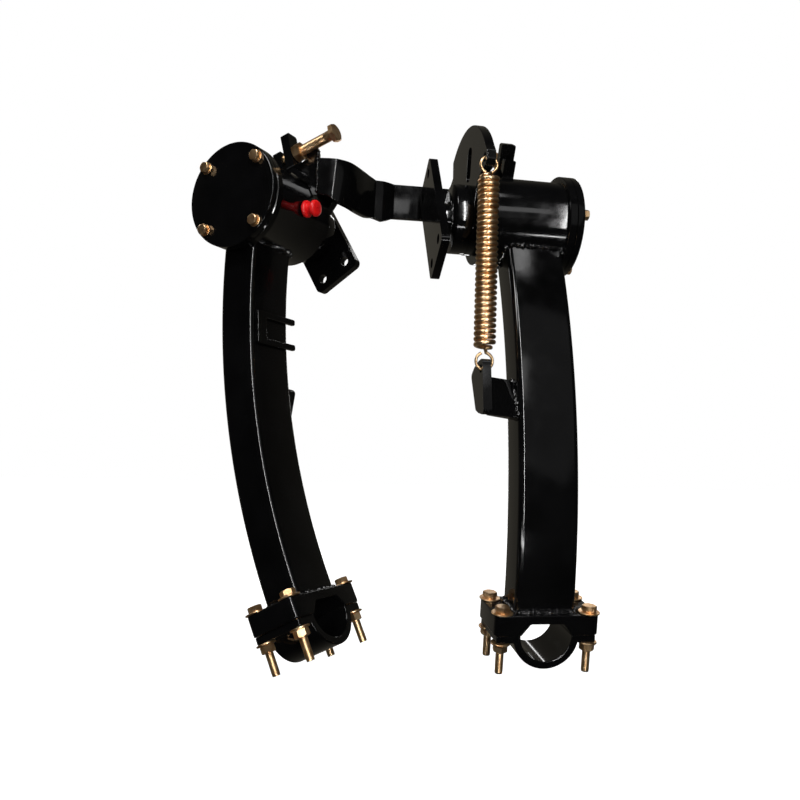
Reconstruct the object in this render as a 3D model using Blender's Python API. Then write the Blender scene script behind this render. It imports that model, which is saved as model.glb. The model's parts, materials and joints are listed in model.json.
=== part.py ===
"""A sprung pair of swing arms: two flange-mounted pivots joined by a bent tie strap.

Lengths are in millimetres and angles in degrees; meshes are scaled to metres when they are made.
Each pivot unit has its own frame: X runs along the pivot from the end cap (0) to the mounting
flange, Y points to the arm's bulging side and Z is up. Angles about the pivot are measured from
Z towards Y. The whole part's origin is the centre of the right flange's mounting face.
"""
import math

import bmesh
import bpy
from mathutils import Matrix, Vector

MM = 0.001
GAP = 0.3
ROUND = 32
SMALL_ROUND = 12
HOLE_ROUND = 16

# Where each unit stands, and what differs between the two.
UNITS = {
    "left": {"origin": (-260.2, -23.3, 1.0), "turn": 50.87, "swing": -9.92, "flange_clock": 30.8,
             "stop_clock": 0.0, "cap_clock": 36.0, "ear": (105.0, 31.5), "lug_hook": (82.0, -223.5)},
    "right": {"origin": (192.0, 0.0, 0.0), "turn": 180.0, "swing": 7.04, "flange_clock": -31.5,
              "stop_clock": 15.7, "cap_clock": 97.0, "ear": (92.0, 41.0), "lug_hook": (56.0, -211.5)},
}

# The stack along the pivot.
CAP_THICK = 9.4
COLLAR_X = (9.7, 20.0)
HOUSING_END = 130.0
SECTOR_X = (132.0, 144.0)
BOSS_X = (144.3, 165.0)
FLANGE_X = (181.0, 192.0)
SHAFT_X = (12.0, 180.7)
NUT_X = (14.5, 29.0)
BUSH_X = (30.3, 129.7)

CAP_RADIUS = 67.5
HOUSING_RADIUS = 59.0
BOSS_RADIUS = 46.0
SHAFT_RADIUS = 20.0
BORE_RADIUS = 30.0
NUT_POCKET_RADIUS = 38.0
SHAFT_NUT_FLATS = 55.0
GREASE_HOLE = 3.5

FLANGE_SIZE = (75.0, 165.0)
FLANGE_HOLE = 6.5
FLANGE_CORNER = 8.0
FLANGE_HOLES_AT = (21.0, 66.0)
SECTOR_RADIUS = 122.0
SECTOR_SLOT = [(21.5, 82.0), (16.0, 57.0)]
SECTOR_SLOT_HALF = 9.5
LEFT_DISC_RADIUS = 50.0

CAP_BOLT_RADIUS = 4.0
CAP_BOLT_CIRCLE = 57.5
CAP_BOLT_FLATS = 13.0
CAP_BOLT_REACH = 18.0
CAP_BOLT_DEPTH = 18.8

# The arm: a rectangular tube bent to a circular arc, given by three points of its centre line.
ARM_X = 59.0
ARM_SIZE = (76.0, 50.0)
ARM_WALL = 5.0
ARM_CORNER = 8.0
ARM_TOP = (10.5, -50.0)
ARM_MIDDLE = (36.0, -277.0)
ARM_FOOT = (0.0, -504.0)
ARM_STEPS = 10

# The split clamp under the arm, in its own frame: Z is along the arm, 0 at the block's top.
BLOCK_HALF = (65.0, 35.0)
BLOCK_THICK = 25.0
BLOCK_CORNER = 6.0
SEAT_HALF_WIDTH = 32.0
NOTCH_HALF_TOP = 20.5
NOTCH_TOP = -11.0
CAP_HALF = (62.0, 33.0)
CAP_FLANGE = 9.0
TROUGH_RADIUS = 41.0
CLAMP_BOLT_AT = (54.6, 26.0)
CLAMP_BOLT_RADIUS = 5.0
CLAMP_BOLT_FLATS = 16.0
CLAMP_BOLT_END = -72.5
CLAMP_HOLE = 5.4
CLAMP_WASHER = 11.7
CLAMP_WASHER_THICK = 2.2
CLAMP_NUT_END = 11.0

# The spring hangs between an ear on the sector plate and a lug on the arm.
SPRING_X = 138.0
SPRING_RADIUS = 14.0
HOOK_RADIUS = 10.5
WIRE_RADIUS = 2.5
HOOK_HOLE = 5.4
HOOK_BITE = 9.2
LUG_TAB_X = (131.0, 142.0)

# The spring lug's (y, z) outlines: the tab from its hook point; the web's ends at the tab and at the
# arm, the last with y from the unit's axis.
LUG_TAB = [(-46.0, -7.5), (-30.0, -0.5), (-10.0, 2.7), (6.0, 2.7), (6.0, -68.5), (-17.0, -61.5), (-29.0, -55.5)]
WEB_AT_TAB = [(-2.0, -18.0), (5.6, -20.5), (5.6, -67.5), (-2.0, -67.0)]
WEB_AT_ARM = [(30.6, -22.5), (39.4, -18.5), (60.8, -70.5), (52.2, -72.0)]

# The stop bolt's axis, in the unit's YZ plane.
STOP_X = 88.0
STOP_SEAT = (-31.2, 79.7)
STOP_TILT = 15.1
STOP_FLATS = 21.5
STOP_BOLT_RADIUS = 7.0
STOP_HEAD = (60.6, 68.1)
STOP_LUG = [(-16.0, -22.0), (10.0, -22.0), (10.0, 29.5), (-10.0, 29.5), (-10.0, -4.0), (-16.0, -12.0)]
STOP_LUG_THICK = 12.5
STOP_BOLT_REACH = 18.9
LOCK_NUT_END = 12.5
LOCK_NUT_ROOM = 12.9
STOP_BRIDGE = (60.2, 68.0)
BRIDGE_START = 80.0
BRIDGE_ANGLES = (-48.0, -20.0)
GUSSET_X = (95.2, 101.2)
GUSSET_ANGLES = (-68.0, -22.0)
GUSSET_EDGE = [(-26.0, 67.0), (-34.0, 69.0), (-42.0, 80.0), (-49.0, 91.0), (-58.5, 89.0), (-62.6, 78.0),
               (-62.6, 21.0)]
PAD_THICK = 12.0
PAD_HALF = (8.0, 17.0)
PAD_DROP = 6.0

GREASE_X = 76.0
GREASE_ANGLE = -104.0
GREASE_CAP_RADIUS = 11.0
GREASE_CAP_LONG = 19.0
GREASE_CAP_WALL = 3.5
NIPPLE_FOOT = 50.0

# A two-pronged plate on the left arm: its (x, z) edges, and the prongs' width.
GUIDE_X = (28.0, 45.0, 104.0)
GUIDE_Z = (-187.0, -145.0)
GUIDE_PRONG = 8.0
GUIDE_THICK = 6.0

# The tie strap's (x, y) centre line, with its lower and upper edge at each point.
STRAP_THICK = 8.0
STRAP_PATH = [(-150.0, 8.0), (-137.0, 6.0), (-127.0, 5.5), (-114.0, 10.5), (-104.5, 18.5), (-91.0, 36.0),
              (-78.0, 55.0), (-67.0, 69.5), (-55.0, 71.5), (-46.5, 76.5), (-38.0, 82.0), (5.0, 82.0),
              (47.7, 82.0)]
STRAP_LOW = [20.5, 19.5, 15.0, 11.0, 10.0, 9.5, 11.5, 16.5, 13.0, 17.0, 22.0, 22.5, 22.5]
STRAP_TOP = [70.5, 70.5, 70.5, 70.5, 70.5, 70.5, 71.0, 71.0, 71.5, 72.0, 72.0, 72.5, 72.5]


def clear_scene():
    for old in list(bpy.data.objects):
        bpy.data.objects.remove(old, do_unlink=True)


def material(name, colour, metallic, roughness):
    made = bpy.data.materials.new(name)
    made.use_nodes = True
    shader = made.node_tree.nodes["Principled BSDF"]
    shader.inputs["Base Color"].default_value = (*colour, 1.0)
    shader.inputs["Metallic"].default_value = metallic
    shader.inputs["Roughness"].default_value = roughness
    return made


def polar(radius, angle):
    """(y, z) at an angle measured from Z towards Y."""
    turn = math.radians(angle)
    return radius * math.sin(turn), radius * math.cos(turn)


def arc(radius, start, stop, steps, centre=(0.0, 0.0)):
    points = []
    for step in range(steps + 1):
        y, z = polar(radius, start + (stop - start) * step / steps)
        points.append((centre[0] + y, centre[1] + z))
    return points


def rounded(corners, radius, steps=3):
    """A closed outline with each corner replaced by an arc of the given radius."""
    points = []
    count = len(corners)
    for i, corner in enumerate(corners):
        here = Vector(corner)
        back = (Vector(corners[i - 1]) - here).normalized()
        ahead = (Vector(corners[(i + 1) % count]) - here).normalized()
        half = back.angle(ahead) / 2
        reach = radius / math.tan(half)
        centre = here + (back + ahead).normalized() * (radius / math.sin(half))
        first = here + back * reach - centre
        sweep = math.pi - 2 * half
        side = 1.0 if back.x * ahead.y - back.y * ahead.x < 0 else -1.0
        for step in range(steps + 1):
            point = first.copy()
            point.rotate(Matrix.Rotation(side * sweep * step / steps, 2))
            points.append(tuple(centre + point))
    return points


def rectangle(half_width, half_height, centre=(0.0, 0.0)):
    across, up = centre
    return [(across - half_width, up - half_height), (across + half_width, up - half_height),
            (across + half_width, up + half_height), (across - half_width, up + half_height)]


def mesh_of(name, bm, smooth=False):
    bmesh.ops.recalc_face_normals(bm, faces=bm.faces)
    bmesh.ops.scale(bm, vec=(MM, MM, MM), verts=bm.verts)
    mesh = bpy.data.meshes.new(name)
    bm.to_mesh(mesh)
    bm.free()
    if smooth:
        mesh.shade_smooth()
        mesh.set_sharp_from_angle(angle=math.radians(40))
    return mesh


def loft(name, rings, closed=False, smooth=False):
    """A surface through rings of equally many points; the ends are capped unless it closes on itself."""
    bm = bmesh.new()
    rows = [[bm.verts.new(point) for point in ring] for ring in rings]
    pairs = list(zip(rows, rows[1:]))
    if closed:
        pairs.append((rows[-1], rows[0]))
    for lower, upper in pairs:
        for i in range(len(lower)):
            j = (i + 1) % len(lower)
            bm.faces.new((lower[i], lower[j], upper[j], upper[i]))
    if not closed:
        bm.faces.new(rows[0])
        bm.faces.new(rows[-1])
    return mesh_of(name, bm, smooth)


def plate_x(name, outline, low, high):
    """A (y, z) outline made solid between two values of x."""
    return loft(name, [[(x, y, z) for y, z in outline] for x in (low, high)])


def plate_y(name, outline, low, high):
    """An (x, z) outline made solid between two values of y."""
    return loft(name, [[(x, y, z) for x, z in outline] for y in (low, high)])


def plate_z(name, outline, low, high):
    """An (x, y) outline made solid between two values of z."""
    return loft(name, [[(x, y, z) for x, y in outline] for z in (low, high)])


def ring_x(x, radius, sides, hexagon=False):
    """Points round the X axis: a circle, or a hexagon whose width across flats is twice the radius."""
    points = []
    for i in range(sides):
        angle = 360.0 * i / sides
        reach = radius
        if hexagon:
            reach = radius / math.cos(math.radians((angle % 60.0) - 30.0))
        points.append((x, *polar(reach, angle)))
    return points


def turned(name, profile, sides=ROUND, closed=False):
    """A profile of (x, radius) or (x, radius, hexagon) turned about the X axis."""
    rings = [ring_x(point[0], point[1], sides, len(point) > 2) for point in profile]
    return loft(name, rings, closed, smooth=True)


def torus_y(name, radius, wire, around=12, section=6):
    """A wire ring in the XZ plane."""
    rings = []
    for i in range(around):
        turn = 2 * math.pi * i / around
        ring = []
        for j in range(section):
            bend = 2 * math.pi * j / section
            reach = radius + wire * math.cos(bend)
            ring.append((reach * math.cos(turn), wire * math.sin(bend), reach * math.sin(turn)))
        rings.append(ring)
    return loft(name, rings, closed=True, smooth=True)


def place(name, mesh, parent=None, look=None, matrix=None):
    made = bpy.data.objects.new(name, mesh)
    bpy.context.scene.collection.objects.link(made)
    made.parent = parent
    if matrix is not None:
        made.matrix_local = matrix
    if look and not mesh.materials:
        mesh.materials.append(look)
    return made


def helper(body, mesh, operation, matrix=None):
    """Adds to or cuts from a body with a hidden shape in the body's own space."""
    tool = place(f"{body.name}_{operation.lower()}_{len(body.modifiers)}", mesh, body, None, matrix)
    tool.hide_render = True
    tool.display_type = "WIRE"
    boolean = body.modifiers.new("Boolean", "BOOLEAN")
    boolean.operation = operation
    boolean.solver = "EXACT"
    boolean.object = tool


def cut(body, mesh, matrix=None):
    helper(body, mesh, "DIFFERENCE", matrix)


def add(body, mesh, matrix=None):
    helper(body, mesh, "UNION", matrix)


def shift(x=0.0, y=0.0, z=0.0):
    return Matrix.Translation((x * MM, y * MM, z * MM))


def about_x(angle):
    """A turn about X that adds the angle to an angle measured from Z towards Y."""
    return Matrix.Rotation(math.radians(-angle), 4, "X")


def hole_x(name, radius, low, high):
    return turned(name, [(low, radius), (high, radius)], HOLE_ROUND)


def arc_through(first, middle, last):
    """Centre and radius of the circle through three (y, z) points."""
    rows = []
    for near, far in ((first, middle), (middle, last)):
        rows.append((far[0] - near[0], far[1] - near[1],
                     (far[0] ** 2 - near[0] ** 2 + far[1] ** 2 - near[1] ** 2) / 2))
    (a, b, e), (c, d, f) = rows
    scale = a * d - b * c
    centre = Vector(((e * d - b * f) / scale, (a * f - e * c) / scale))
    return centre, (Vector(first) - centre).length


ARM_CENTRE, ARM_RADIUS = arc_through(ARM_TOP, ARM_MIDDLE, ARM_FOOT)


def arm_angle(point):
    """The angle at the arc's centre, from Y towards Z, of a point on the arm."""
    return math.atan2(point[1] - ARM_CENTRE.y, point[0] - ARM_CENTRE.x)


ARM_LEAN = -math.degrees(arm_angle(ARM_FOOT))


def clamp_matrix():
    """The clamp's frame, square to the arm's lower end."""
    return shift(ARM_X, *ARM_FOOT) @ about_x(ARM_LEAN)


def stop_matrix(unit):
    """The stop bolt's frame: origin where the bolt leaves its lug, X along the bolt to its head."""
    tilt = math.radians(STOP_TILT)
    outward = Vector((0.0, -math.cos(tilt), math.sin(tilt)))
    upward = Vector((0.0, math.sin(tilt), math.cos(tilt)))
    across = outward.cross(upward)
    turn = Matrix((outward, across, upward)).transposed().to_4x4()
    return about_x(unit["stop_clock"]) @ shift(STOP_X, *STOP_SEAT) @ turn


def end_cap(side, unit, swing, look):
    rim = 1.2
    profile = [(0.0, CAP_RADIUS - rim), (rim, CAP_RADIUS), (CAP_THICK - GAP, CAP_RADIUS),
               (CAP_THICK, CAP_RADIUS - GAP)]
    cap = place(f"{side}_end_cap", turned("end_cap", profile), swing, look)
    for quarter in range(4):
        seat = shift(0, *polar(CAP_BOLT_CIRCLE, unit["cap_clock"] + 90 * quarter))
        cut(cap, hole_x("hole", CAP_BOLT_RADIUS + GAP, -1, CAP_THICK + 1), seat)


def bolt_mesh(name, radius, flats, washer, washer_thick, head, reach):
    """A hexagon bolt with its washer, seat at x = 0, head at negative x and shank at positive x."""
    seat = -washer_thick - head
    flat = flats / 2
    profile = [(seat, flat - 0.8), (seat + 0.8, flat, True), (-washer_thick, flat, True), (-washer_thick, washer),
               (0.0, washer), (0.0, radius), (reach - 1.0, radius), (reach, radius - 1.0)]
    return turned(name, profile, SMALL_ROUND)


def cap_bolts(side, unit, swing, look):
    mesh = bolt_mesh("cap_bolt", CAP_BOLT_RADIUS, CAP_BOLT_FLATS, 8.0, 1.8, 5.5, CAP_BOLT_REACH)
    for quarter in range(4):
        seat = shift(-GAP, *polar(CAP_BOLT_CIRCLE, unit["cap_clock"] + 90 * quarter))
        place(f"{side}_cap_bolt_{quarter + 1}", mesh, swing, look, seat)


def housing(side, unit, swing, look):
    """The turning barrel with its collar, grease hole and the pad that meets the stop bolt."""
    profile = [(COLLAR_X[0], NUT_POCKET_RADIUS), (COLLAR_X[0], CAP_RADIUS), (COLLAR_X[1], CAP_RADIUS),
               (COLLAR_X[1], HOUSING_RADIUS), (HOUSING_END, HOUSING_RADIUS), (HOUSING_END, BORE_RADIUS),
               (BUSH_X[0] - GAP, BORE_RADIUS), (BUSH_X[0] - GAP, NUT_POCKET_RADIUS)]
    barrel = place(f"{side}_housing", turned("housing", profile, closed=True), swing, look)
    face = -STOP_BOLT_REACH - GAP
    pad = plate_x("pad", rectangle(*PAD_HALF, (0.0, -PAD_DROP)), face - PAD_THICK, face)
    add(barrel, pad, about_x(unit["swing"]) @ stop_matrix(unit))
    for quarter in range(4):
        seat = shift(0, *polar(CAP_BOLT_CIRCLE, unit["cap_clock"] + 90 * quarter))
        cut(barrel, hole_x("hole", CAP_BOLT_RADIUS + GAP, CAP_THICK - 1, CAP_BOLT_DEPTH), seat)
    cut(barrel, hole_x("grease_hole", GREASE_HOLE, NIPPLE_FOOT - 5, HOUSING_RADIUS + 5), grease_matrix())


def grease_matrix():
    """The grease nipple's frame: X runs outwards from the pivot axis."""
    outward = Matrix.Rotation(math.radians(-90), 4, "Y")
    return shift(GREASE_X) @ about_x(GREASE_ANGLE) @ outward


def shaft(side, unit, fixed, look):
    chamfer = 2.0
    profile = [(SHAFT_X[0], SHAFT_RADIUS - chamfer), (SHAFT_X[0] + chamfer, SHAFT_RADIUS),
               (BOSS_X[0], SHAFT_RADIUS), (BOSS_X[0], BOSS_RADIUS), (BOSS_X[1] - chamfer, BOSS_RADIUS),
               (BOSS_X[1], BOSS_RADIUS - chamfer), (BOSS_X[1], SHAFT_RADIUS), (SHAFT_X[1], SHAFT_RADIUS)]
    place(f"{side}_shaft", turned("shaft", profile), fixed, look)
    nut = [(NUT_X[0], SHAFT_RADIUS + GAP), (NUT_X[0], SHAFT_NUT_FLATS / 2, True),
           (NUT_X[1], SHAFT_NUT_FLATS / 2, True), (NUT_X[1], SHAFT_RADIUS + GAP)]
    place(f"{side}_shaft_nut", turned("shaft_nut", nut, closed=True), fixed, look)


def bush(side, unit, swing, look):
    inner, outer = SHAFT_RADIUS + GAP, BORE_RADIUS - GAP
    profile = [(BUSH_X[0], inner), (BUSH_X[0], outer), (BUSH_X[1], outer), (BUSH_X[1], inner)]
    place(f"{side}_bush", turned("bush", profile, closed=True), swing, look)


def flange(side, unit, fixed, look):
    outline = rounded(rectangle(FLANGE_SIZE[0] / 2, FLANGE_SIZE[1] / 2), FLANGE_CORNER)
    clock = about_x(unit["flange_clock"])
    plate = place(f"{side}_flange", plate_x("flange", outline, *FLANGE_X), fixed, look, clock)
    for across in (-1, 1):
        for up in (-1, 1):
            seat = shift(0, across * FLANGE_HOLES_AT[0], up * FLANGE_HOLES_AT[1])
            cut(plate, hole_x("hole", FLANGE_HOLE, FLANGE_X[0] - 2, FLANGE_X[1] + 2), seat)


def right_sector_outline():
    """A dome over the pivot, with the spring's ear on one side and the strap's foot on the other."""
    dome = arc(SECTOR_RADIUS, -30.5, 60.0, 14, centre=(-10.0, 4.0))
    ear = [(103.0, 56.0), (103.5, 44.0), (98.0, 38.0), (80.0, 38.0), (60.0, 30.0)]
    foot = [(-94.0, 18.0), (-94.0, 77.0), (-72.0, 86.0)]
    return dome + ear + arc(BOSS_RADIUS + 1, 80.0, 270.0, 10) + foot


def left_sector_outline():
    """A disc with one lobe for the spring's ear and a lower one for the stop bracket."""
    lobe = arc(LEFT_DISC_RADIUS + 20, -68.0, -5.0, 8)
    ear = [*arc(SECTOR_RADIUS - 4, 48.0, 68.0, 4), (118.0, 46.0), (118.0, 36.0), (112.0, 28.5), (92.0, 28.5),
           (66.0, 20.0)]
    return lobe + arc(LEFT_DISC_RADIUS, 8.0, 34.0, 3) + ear + arc(LEFT_DISC_RADIUS, 95.0, 278.0, 12)


def turned_by(point, angle):
    """A (y, z) point turned about the pivot axis, from Y towards Z."""
    turn = math.radians(angle)
    y, z = point
    return Vector((y * math.cos(turn) - z * math.sin(turn), y * math.sin(turn) + z * math.cos(turn)))


def spring_line(unit):
    """The spring's (y, z) direction in the fixed frame, from its upper hook to its lower one."""
    return (turned_by(unit["lug_hook"], unit["swing"]) - Vector(unit["ear"])).normalized()


def sector_plate(side, unit, fixed, look):
    outline = right_sector_outline() if side == "right" else left_sector_outline()
    plate = place(f"{side}_sector_plate", plate_x("sector", outline, *SECTOR_X), fixed, look)
    cut(plate, turned("hole", [(SECTOR_X[0] - 2, SHAFT_RADIUS + GAP), (SECTOR_X[1] + 2, SHAFT_RADIUS + GAP)]))
    if side == "right":
        top, foot = SECTOR_SLOT
        slot = arc(SECTOR_SLOT_HALF, -90.0, 90.0, 8, top) + arc(SECTOR_SLOT_HALF, 90.0, 270.0, 8, foot)
        cut(plate, plate_x("slot", slot, SECTOR_X[0] - 2, SECTOR_X[1] + 2))
    hole = Vector(unit["ear"]) - spring_line(unit) * HOOK_BITE
    cut(plate, hole_x("hook_hole", HOOK_HOLE, SECTOR_X[0] - 2, SECTOR_X[1] + 2), shift(0, *hole))


def stop_bracket(side, unit, fixed, look):
    """The bolt's lug on a saddle that clears the barrel and is welded to the sector plate."""
    inner, outer = STOP_BRIDGE
    low, high = BRIDGE_ANGLES
    outline = arc(outer, low, high, 6) + arc(inner, high, low, 6)
    saddle = plate_x("saddle", outline, BRIDGE_START, SECTOR_X[0] - GAP)
    bracket = place(f"{side}_stop_bracket", saddle, fixed, look, about_x(unit["stop_clock"]))
    to_lug = about_x(-unit["stop_clock"]) @ stop_matrix(unit)
    add(bracket, plate_x("lug", rounded(STOP_LUG, 3.0, 2), -STOP_LUG_THICK, 0.0), to_lug)
    if side == "left":
        add(bracket, plate_x("gusset", arc(inner, *GUSSET_ANGLES, 10) + GUSSET_EDGE, *GUSSET_X))
        cut(bracket, hole_x("nut_room", LOCK_NUT_ROOM, GAP / 2, LOCK_NUT_END + GAP), to_lug)
    cut(bracket, hole_x("bolt_hole", STOP_BOLT_RADIUS + GAP, -STOP_LUG_THICK - 5, 5.0), to_lug)


def stop_bolt(side, fixed, unit, look):
    """The stop bolt and its lock nut, both on the lug's outer side."""
    to_stop = stop_matrix(unit)
    nut = [(GAP, STOP_BOLT_RADIUS + GAP), (GAP, STOP_FLATS / 2, True), (LOCK_NUT_END, STOP_FLATS / 2, True),
           (LOCK_NUT_END, STOP_BOLT_RADIUS + GAP)]
    place(f"{side}_lock_nut", turned("lock_nut", nut, SMALL_ROUND, closed=True), fixed, look, to_stop)
    (under, top), tip = STOP_HEAD, -STOP_BOLT_REACH
    bolt = [(tip, STOP_BOLT_RADIUS - 1), (tip + 1, STOP_BOLT_RADIUS), (under, STOP_BOLT_RADIUS),
            (under, STOP_FLATS / 2, True), (top - 1, STOP_FLATS / 2, True), (top, STOP_FLATS / 2 - 1)]
    place(f"{side}_stop_bolt", turned("stop_bolt", bolt, SMALL_ROUND), fixed, look, to_stop)


def arm_ring(outline, turn):
    """An (x, radial) outline stood across the arm at an angle of its arc."""
    points = []
    for across, out in outline:
        reach = ARM_RADIUS + out
        y, z = ARM_CENTRE.x + reach * math.cos(turn), ARM_CENTRE.y + reach * math.sin(turn)
        points.append((ARM_X + across, y, z))
    return points


def arm_sweep(name, outline, start, stop):
    turns = [start + (stop - start) * step / ARM_STEPS for step in range(ARM_STEPS + 1)]
    return loft(name, [arm_ring(outline, turn) for turn in turns])


def arm(side, unit, swing, look):
    """The bent tube, its upper end shaped to the barrel."""
    above = 30.0 / ARM_RADIUS
    start = arm_angle(ARM_TOP) + above
    stop = arm_angle(ARM_FOOT) + GAP / ARM_RADIUS
    half_width, half_depth = ARM_SIZE[0] / 2, ARM_SIZE[1] / 2
    outer = rounded(rectangle(half_width, half_depth), ARM_CORNER)
    inner = rounded(rectangle(half_width - ARM_WALL, half_depth - ARM_WALL), ARM_CORNER - ARM_WALL, 1)
    tube = place(f"{side}_arm", arm_sweep("arm", outer, start, stop), swing, look)
    cut(tube, arm_sweep("hollow", inner, start + above, stop - above))
    saddle = [(0.0, HOUSING_RADIUS + GAP), (HOUSING_END, HOUSING_RADIUS + GAP)]
    cut(tube, turned("saddle", saddle))


def spring_lug(side, unit, swing, look):
    """A tab for the spring's hook, held off the arm's side by a slanting web."""
    hook = Vector(unit["lug_hook"])
    tab = [tuple(hook + Vector(point)) for point in LUG_TAB]
    lug = place(f"{side}_spring_lug", plate_x("tab", tab, *LUG_TAB_X), swing, look)
    at_arm = [(ARM_X + ARM_SIZE[0] / 2 + GAP, y, hook.y + z) for y, z in WEB_AT_ARM]
    at_tab = [(LUG_TAB_X[0] + 5.0, hook.x + y, hook.y + z) for y, z in WEB_AT_TAB]
    add(lug, loft("web", [at_arm, at_tab]))
    down = turned_by(spring_line(unit), -unit["swing"])
    hole = hook + down * HOOK_BITE
    cut(lug, hole_x("hook_hole", HOOK_HOLE, LUG_TAB_X[0] - 2, LUG_TAB_X[1] + 2), shift(0, *hole))


def spring(side, unit, fixed, look):
    """The coil's outside as one plain solid, with a round hook at each end."""
    top = Vector((SPRING_X, *unit["ear"]))
    foot = Vector((SPRING_X, *turned_by(unit["lug_hook"], unit["swing"])))
    length = (foot - top).length
    down = (foot - top).normalized()
    across = Vector((1.0, 0.0, 0.0))
    frame = Matrix((across, down.cross(across), -down)).transposed().to_4x4()
    body = [(9.5, 10.0), (13.0, SPRING_RADIUS), (length - 15.5, SPRING_RADIUS), (length - 12.0, 10.0)]
    hanger = empty(f"{side}_spring_pivot", fixed, shift(*top) @ frame)
    coil = place(f"{side}_spring", turned("spring", body, 16), hanger, look,
                 Matrix.Rotation(math.radians(90), 4, "Y"))
    back = Matrix.Rotation(math.radians(-90), 4, "Y")
    add(coil, torus_y("hook", HOOK_RADIUS, WIRE_RADIUS), back)
    add(coil, torus_y("hook", HOOK_RADIUS, WIRE_RADIUS), back @ shift(z=-length))


def grease_point(side, unit, swing, look, red):
    seat = HOUSING_RADIUS + GAP
    nipple = [(NIPPLE_FOOT, 2.5), (NIPPLE_FOOT, 3.0), (seat, 3.0), (seat, 4.5, True), (seat + 5, 4.5, True),
              (seat + 5, 3.0), (seat + 12, 3.0), (seat + 13, 2.0)]
    place(f"{side}_grease_nipple", turned("nipple", nipple, SMALL_ROUND), swing, look, grease_matrix())
    bottom, top, wall = seat + 1.0, seat + 1.0 + GREASE_CAP_LONG, GREASE_CAP_WALL
    cup = [(bottom, GREASE_CAP_RADIUS - wall), (bottom, GREASE_CAP_RADIUS), (top - 2, GREASE_CAP_RADIUS),
           (top, GREASE_CAP_RADIUS - 2), (top, 0.6), (top - wall, 0.6), (top - wall, GREASE_CAP_RADIUS - wall)]
    place(f"{side}_grease_cap", turned("grease_cap", cup, HOLE_ROUND, closed=True), swing, red, grease_matrix())


def clamp(side, unit, swing, look):
    """The block welded under the arm and the saddle that closes it from below."""
    lower = clamp_matrix()
    outline = rounded(rectangle(*BLOCK_HALF), BLOCK_CORNER, 2)
    block = place(f"{side}_clamp_block", plate_z("block", outline, -BLOCK_THICK, 0.0), swing, look, lower)
    wide, narrow = SEAT_HALF_WIDTH, NOTCH_HALF_TOP
    notch = [(-wide, -BLOCK_THICK - 5), (wide, -BLOCK_THICK - 5), (wide, -BLOCK_THICK), (narrow, NOTCH_TOP),
             (-narrow, NOTCH_TOP), (-wide, -BLOCK_THICK)]
    cut(block, plate_y("notch", notch, -BLOCK_HALF[1] - 2, BLOCK_HALF[1] + 2))
    split = -BLOCK_THICK - GAP
    under = split - CAP_FLANGE
    dip = math.degrees(math.acos(CAP_FLANGE / TROUGH_RADIUS))
    trough = arc(TROUGH_RADIUS, 180 - dip, 180 + dip, 12, (0.0, split))
    seat = arc(SEAT_HALF_WIDTH, 270.0, 90.0, 12, (0.0, split))
    half = CAP_HALF[0]
    profile = [(half, split), (half, under), *trough, (-half, under), (-half, split), *seat]
    mesh = plate_y("saddle", profile, -CAP_HALF[1], CAP_HALF[1])
    saddle = place(f"{side}_clamp_cap", mesh, swing, look, lower)
    down = Matrix.Rotation(math.radians(90), 4, "Y")
    for across, along in clamp_corners():
        seat_at = shift(across, along) @ down
        cut(block, hole_x("hole", CLAMP_HOLE, -2, BLOCK_THICK + 2), seat_at)
        cut(saddle, hole_x("hole", CLAMP_HOLE, BLOCK_THICK - 2, -under + 2), seat_at)


def clamp_corners():
    across, along = CLAMP_BOLT_AT
    return [(across, along), (-across, along), (-across, -along), (across, -along)]


def clamp_bolts(side, swing, look):
    bolt = bolt_mesh("clamp_bolt", CLAMP_BOLT_RADIUS, CLAMP_BOLT_FLATS, 13.0, 2.5, 6.4, -CLAMP_BOLT_END + GAP)
    top = BLOCK_THICK + CAP_FLANGE + 2 * GAP
    bore = CLAMP_BOLT_RADIUS + GAP
    flats = CLAMP_BOLT_FLATS / 2
    rest, end = top + CLAMP_WASHER_THICK, top + CLAMP_NUT_END
    profile = [(top, bore), (top, CLAMP_WASHER), (rest, CLAMP_WASHER), (rest, flats, True), (end, flats, True),
               (end, bore)]
    nut = turned("clamp_nut", profile, SMALL_ROUND, closed=True)
    down = Matrix.Rotation(math.radians(90), 4, "Y")
    for number, (across, along) in enumerate(clamp_corners(), 1):
        seat = clamp_matrix() @ shift(across, along) @ down
        top = clamp_matrix() @ shift(across, along, GAP) @ down
        place(f"{side}_clamp_bolt_{number}", bolt, swing, look, top)
        place(f"{side}_clamp_nut_{number}", nut, swing, look, seat)


def line_guide(swing, look):
    """A two-pronged plate on the arm's hollow side, which holds a brake line."""
    (back, front, tip), (low, high), prong = GUIDE_X, GUIDE_Z, GUIDE_PRONG
    outline = [(back, low), (tip, low), (tip, low + prong), (front, low + prong), (front, high - prong),
               (tip, high - prong), (tip, high), (back, high)]
    middle = (low + high) / 2
    turn = math.asin((middle - ARM_CENTRE.y) / ARM_RADIUS)
    reach = ARM_RADIUS - ARM_SIZE[1] / 2 - 4 * GAP
    outer = ARM_CENTRE.x + reach * math.cos(turn)
    mesh = plate_y("line_guide", [(x, z - middle) for x, z in outline], -GUIDE_THICK, 0.0)
    place("left_line_guide", mesh, swing, look, shift(0, outer, middle) @ Matrix.Rotation(turn, 4, "X"))


def tie_strap(look):
    """The bent flat bar between the left stop bracket and the right sector plate."""
    rings = []
    last = len(STRAP_PATH) - 1
    for i, point in enumerate(STRAP_PATH):
        before = Vector(STRAP_PATH[max(i - 1, 0)])
        after = Vector(STRAP_PATH[min(i + 1, last)])
        along = (after - before).normalized()
        side = Vector((-along.y, along.x)) * STRAP_THICK / 2
        near, far = Vector(point) - side, Vector(point) + side
        low, high = STRAP_LOW[i], STRAP_TOP[i]
        rings.append([(*near, low), (*far, low), (*far, high), (*near, high)])
    place("tie_strap", loft("tie_strap", rings), None, look)


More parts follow.
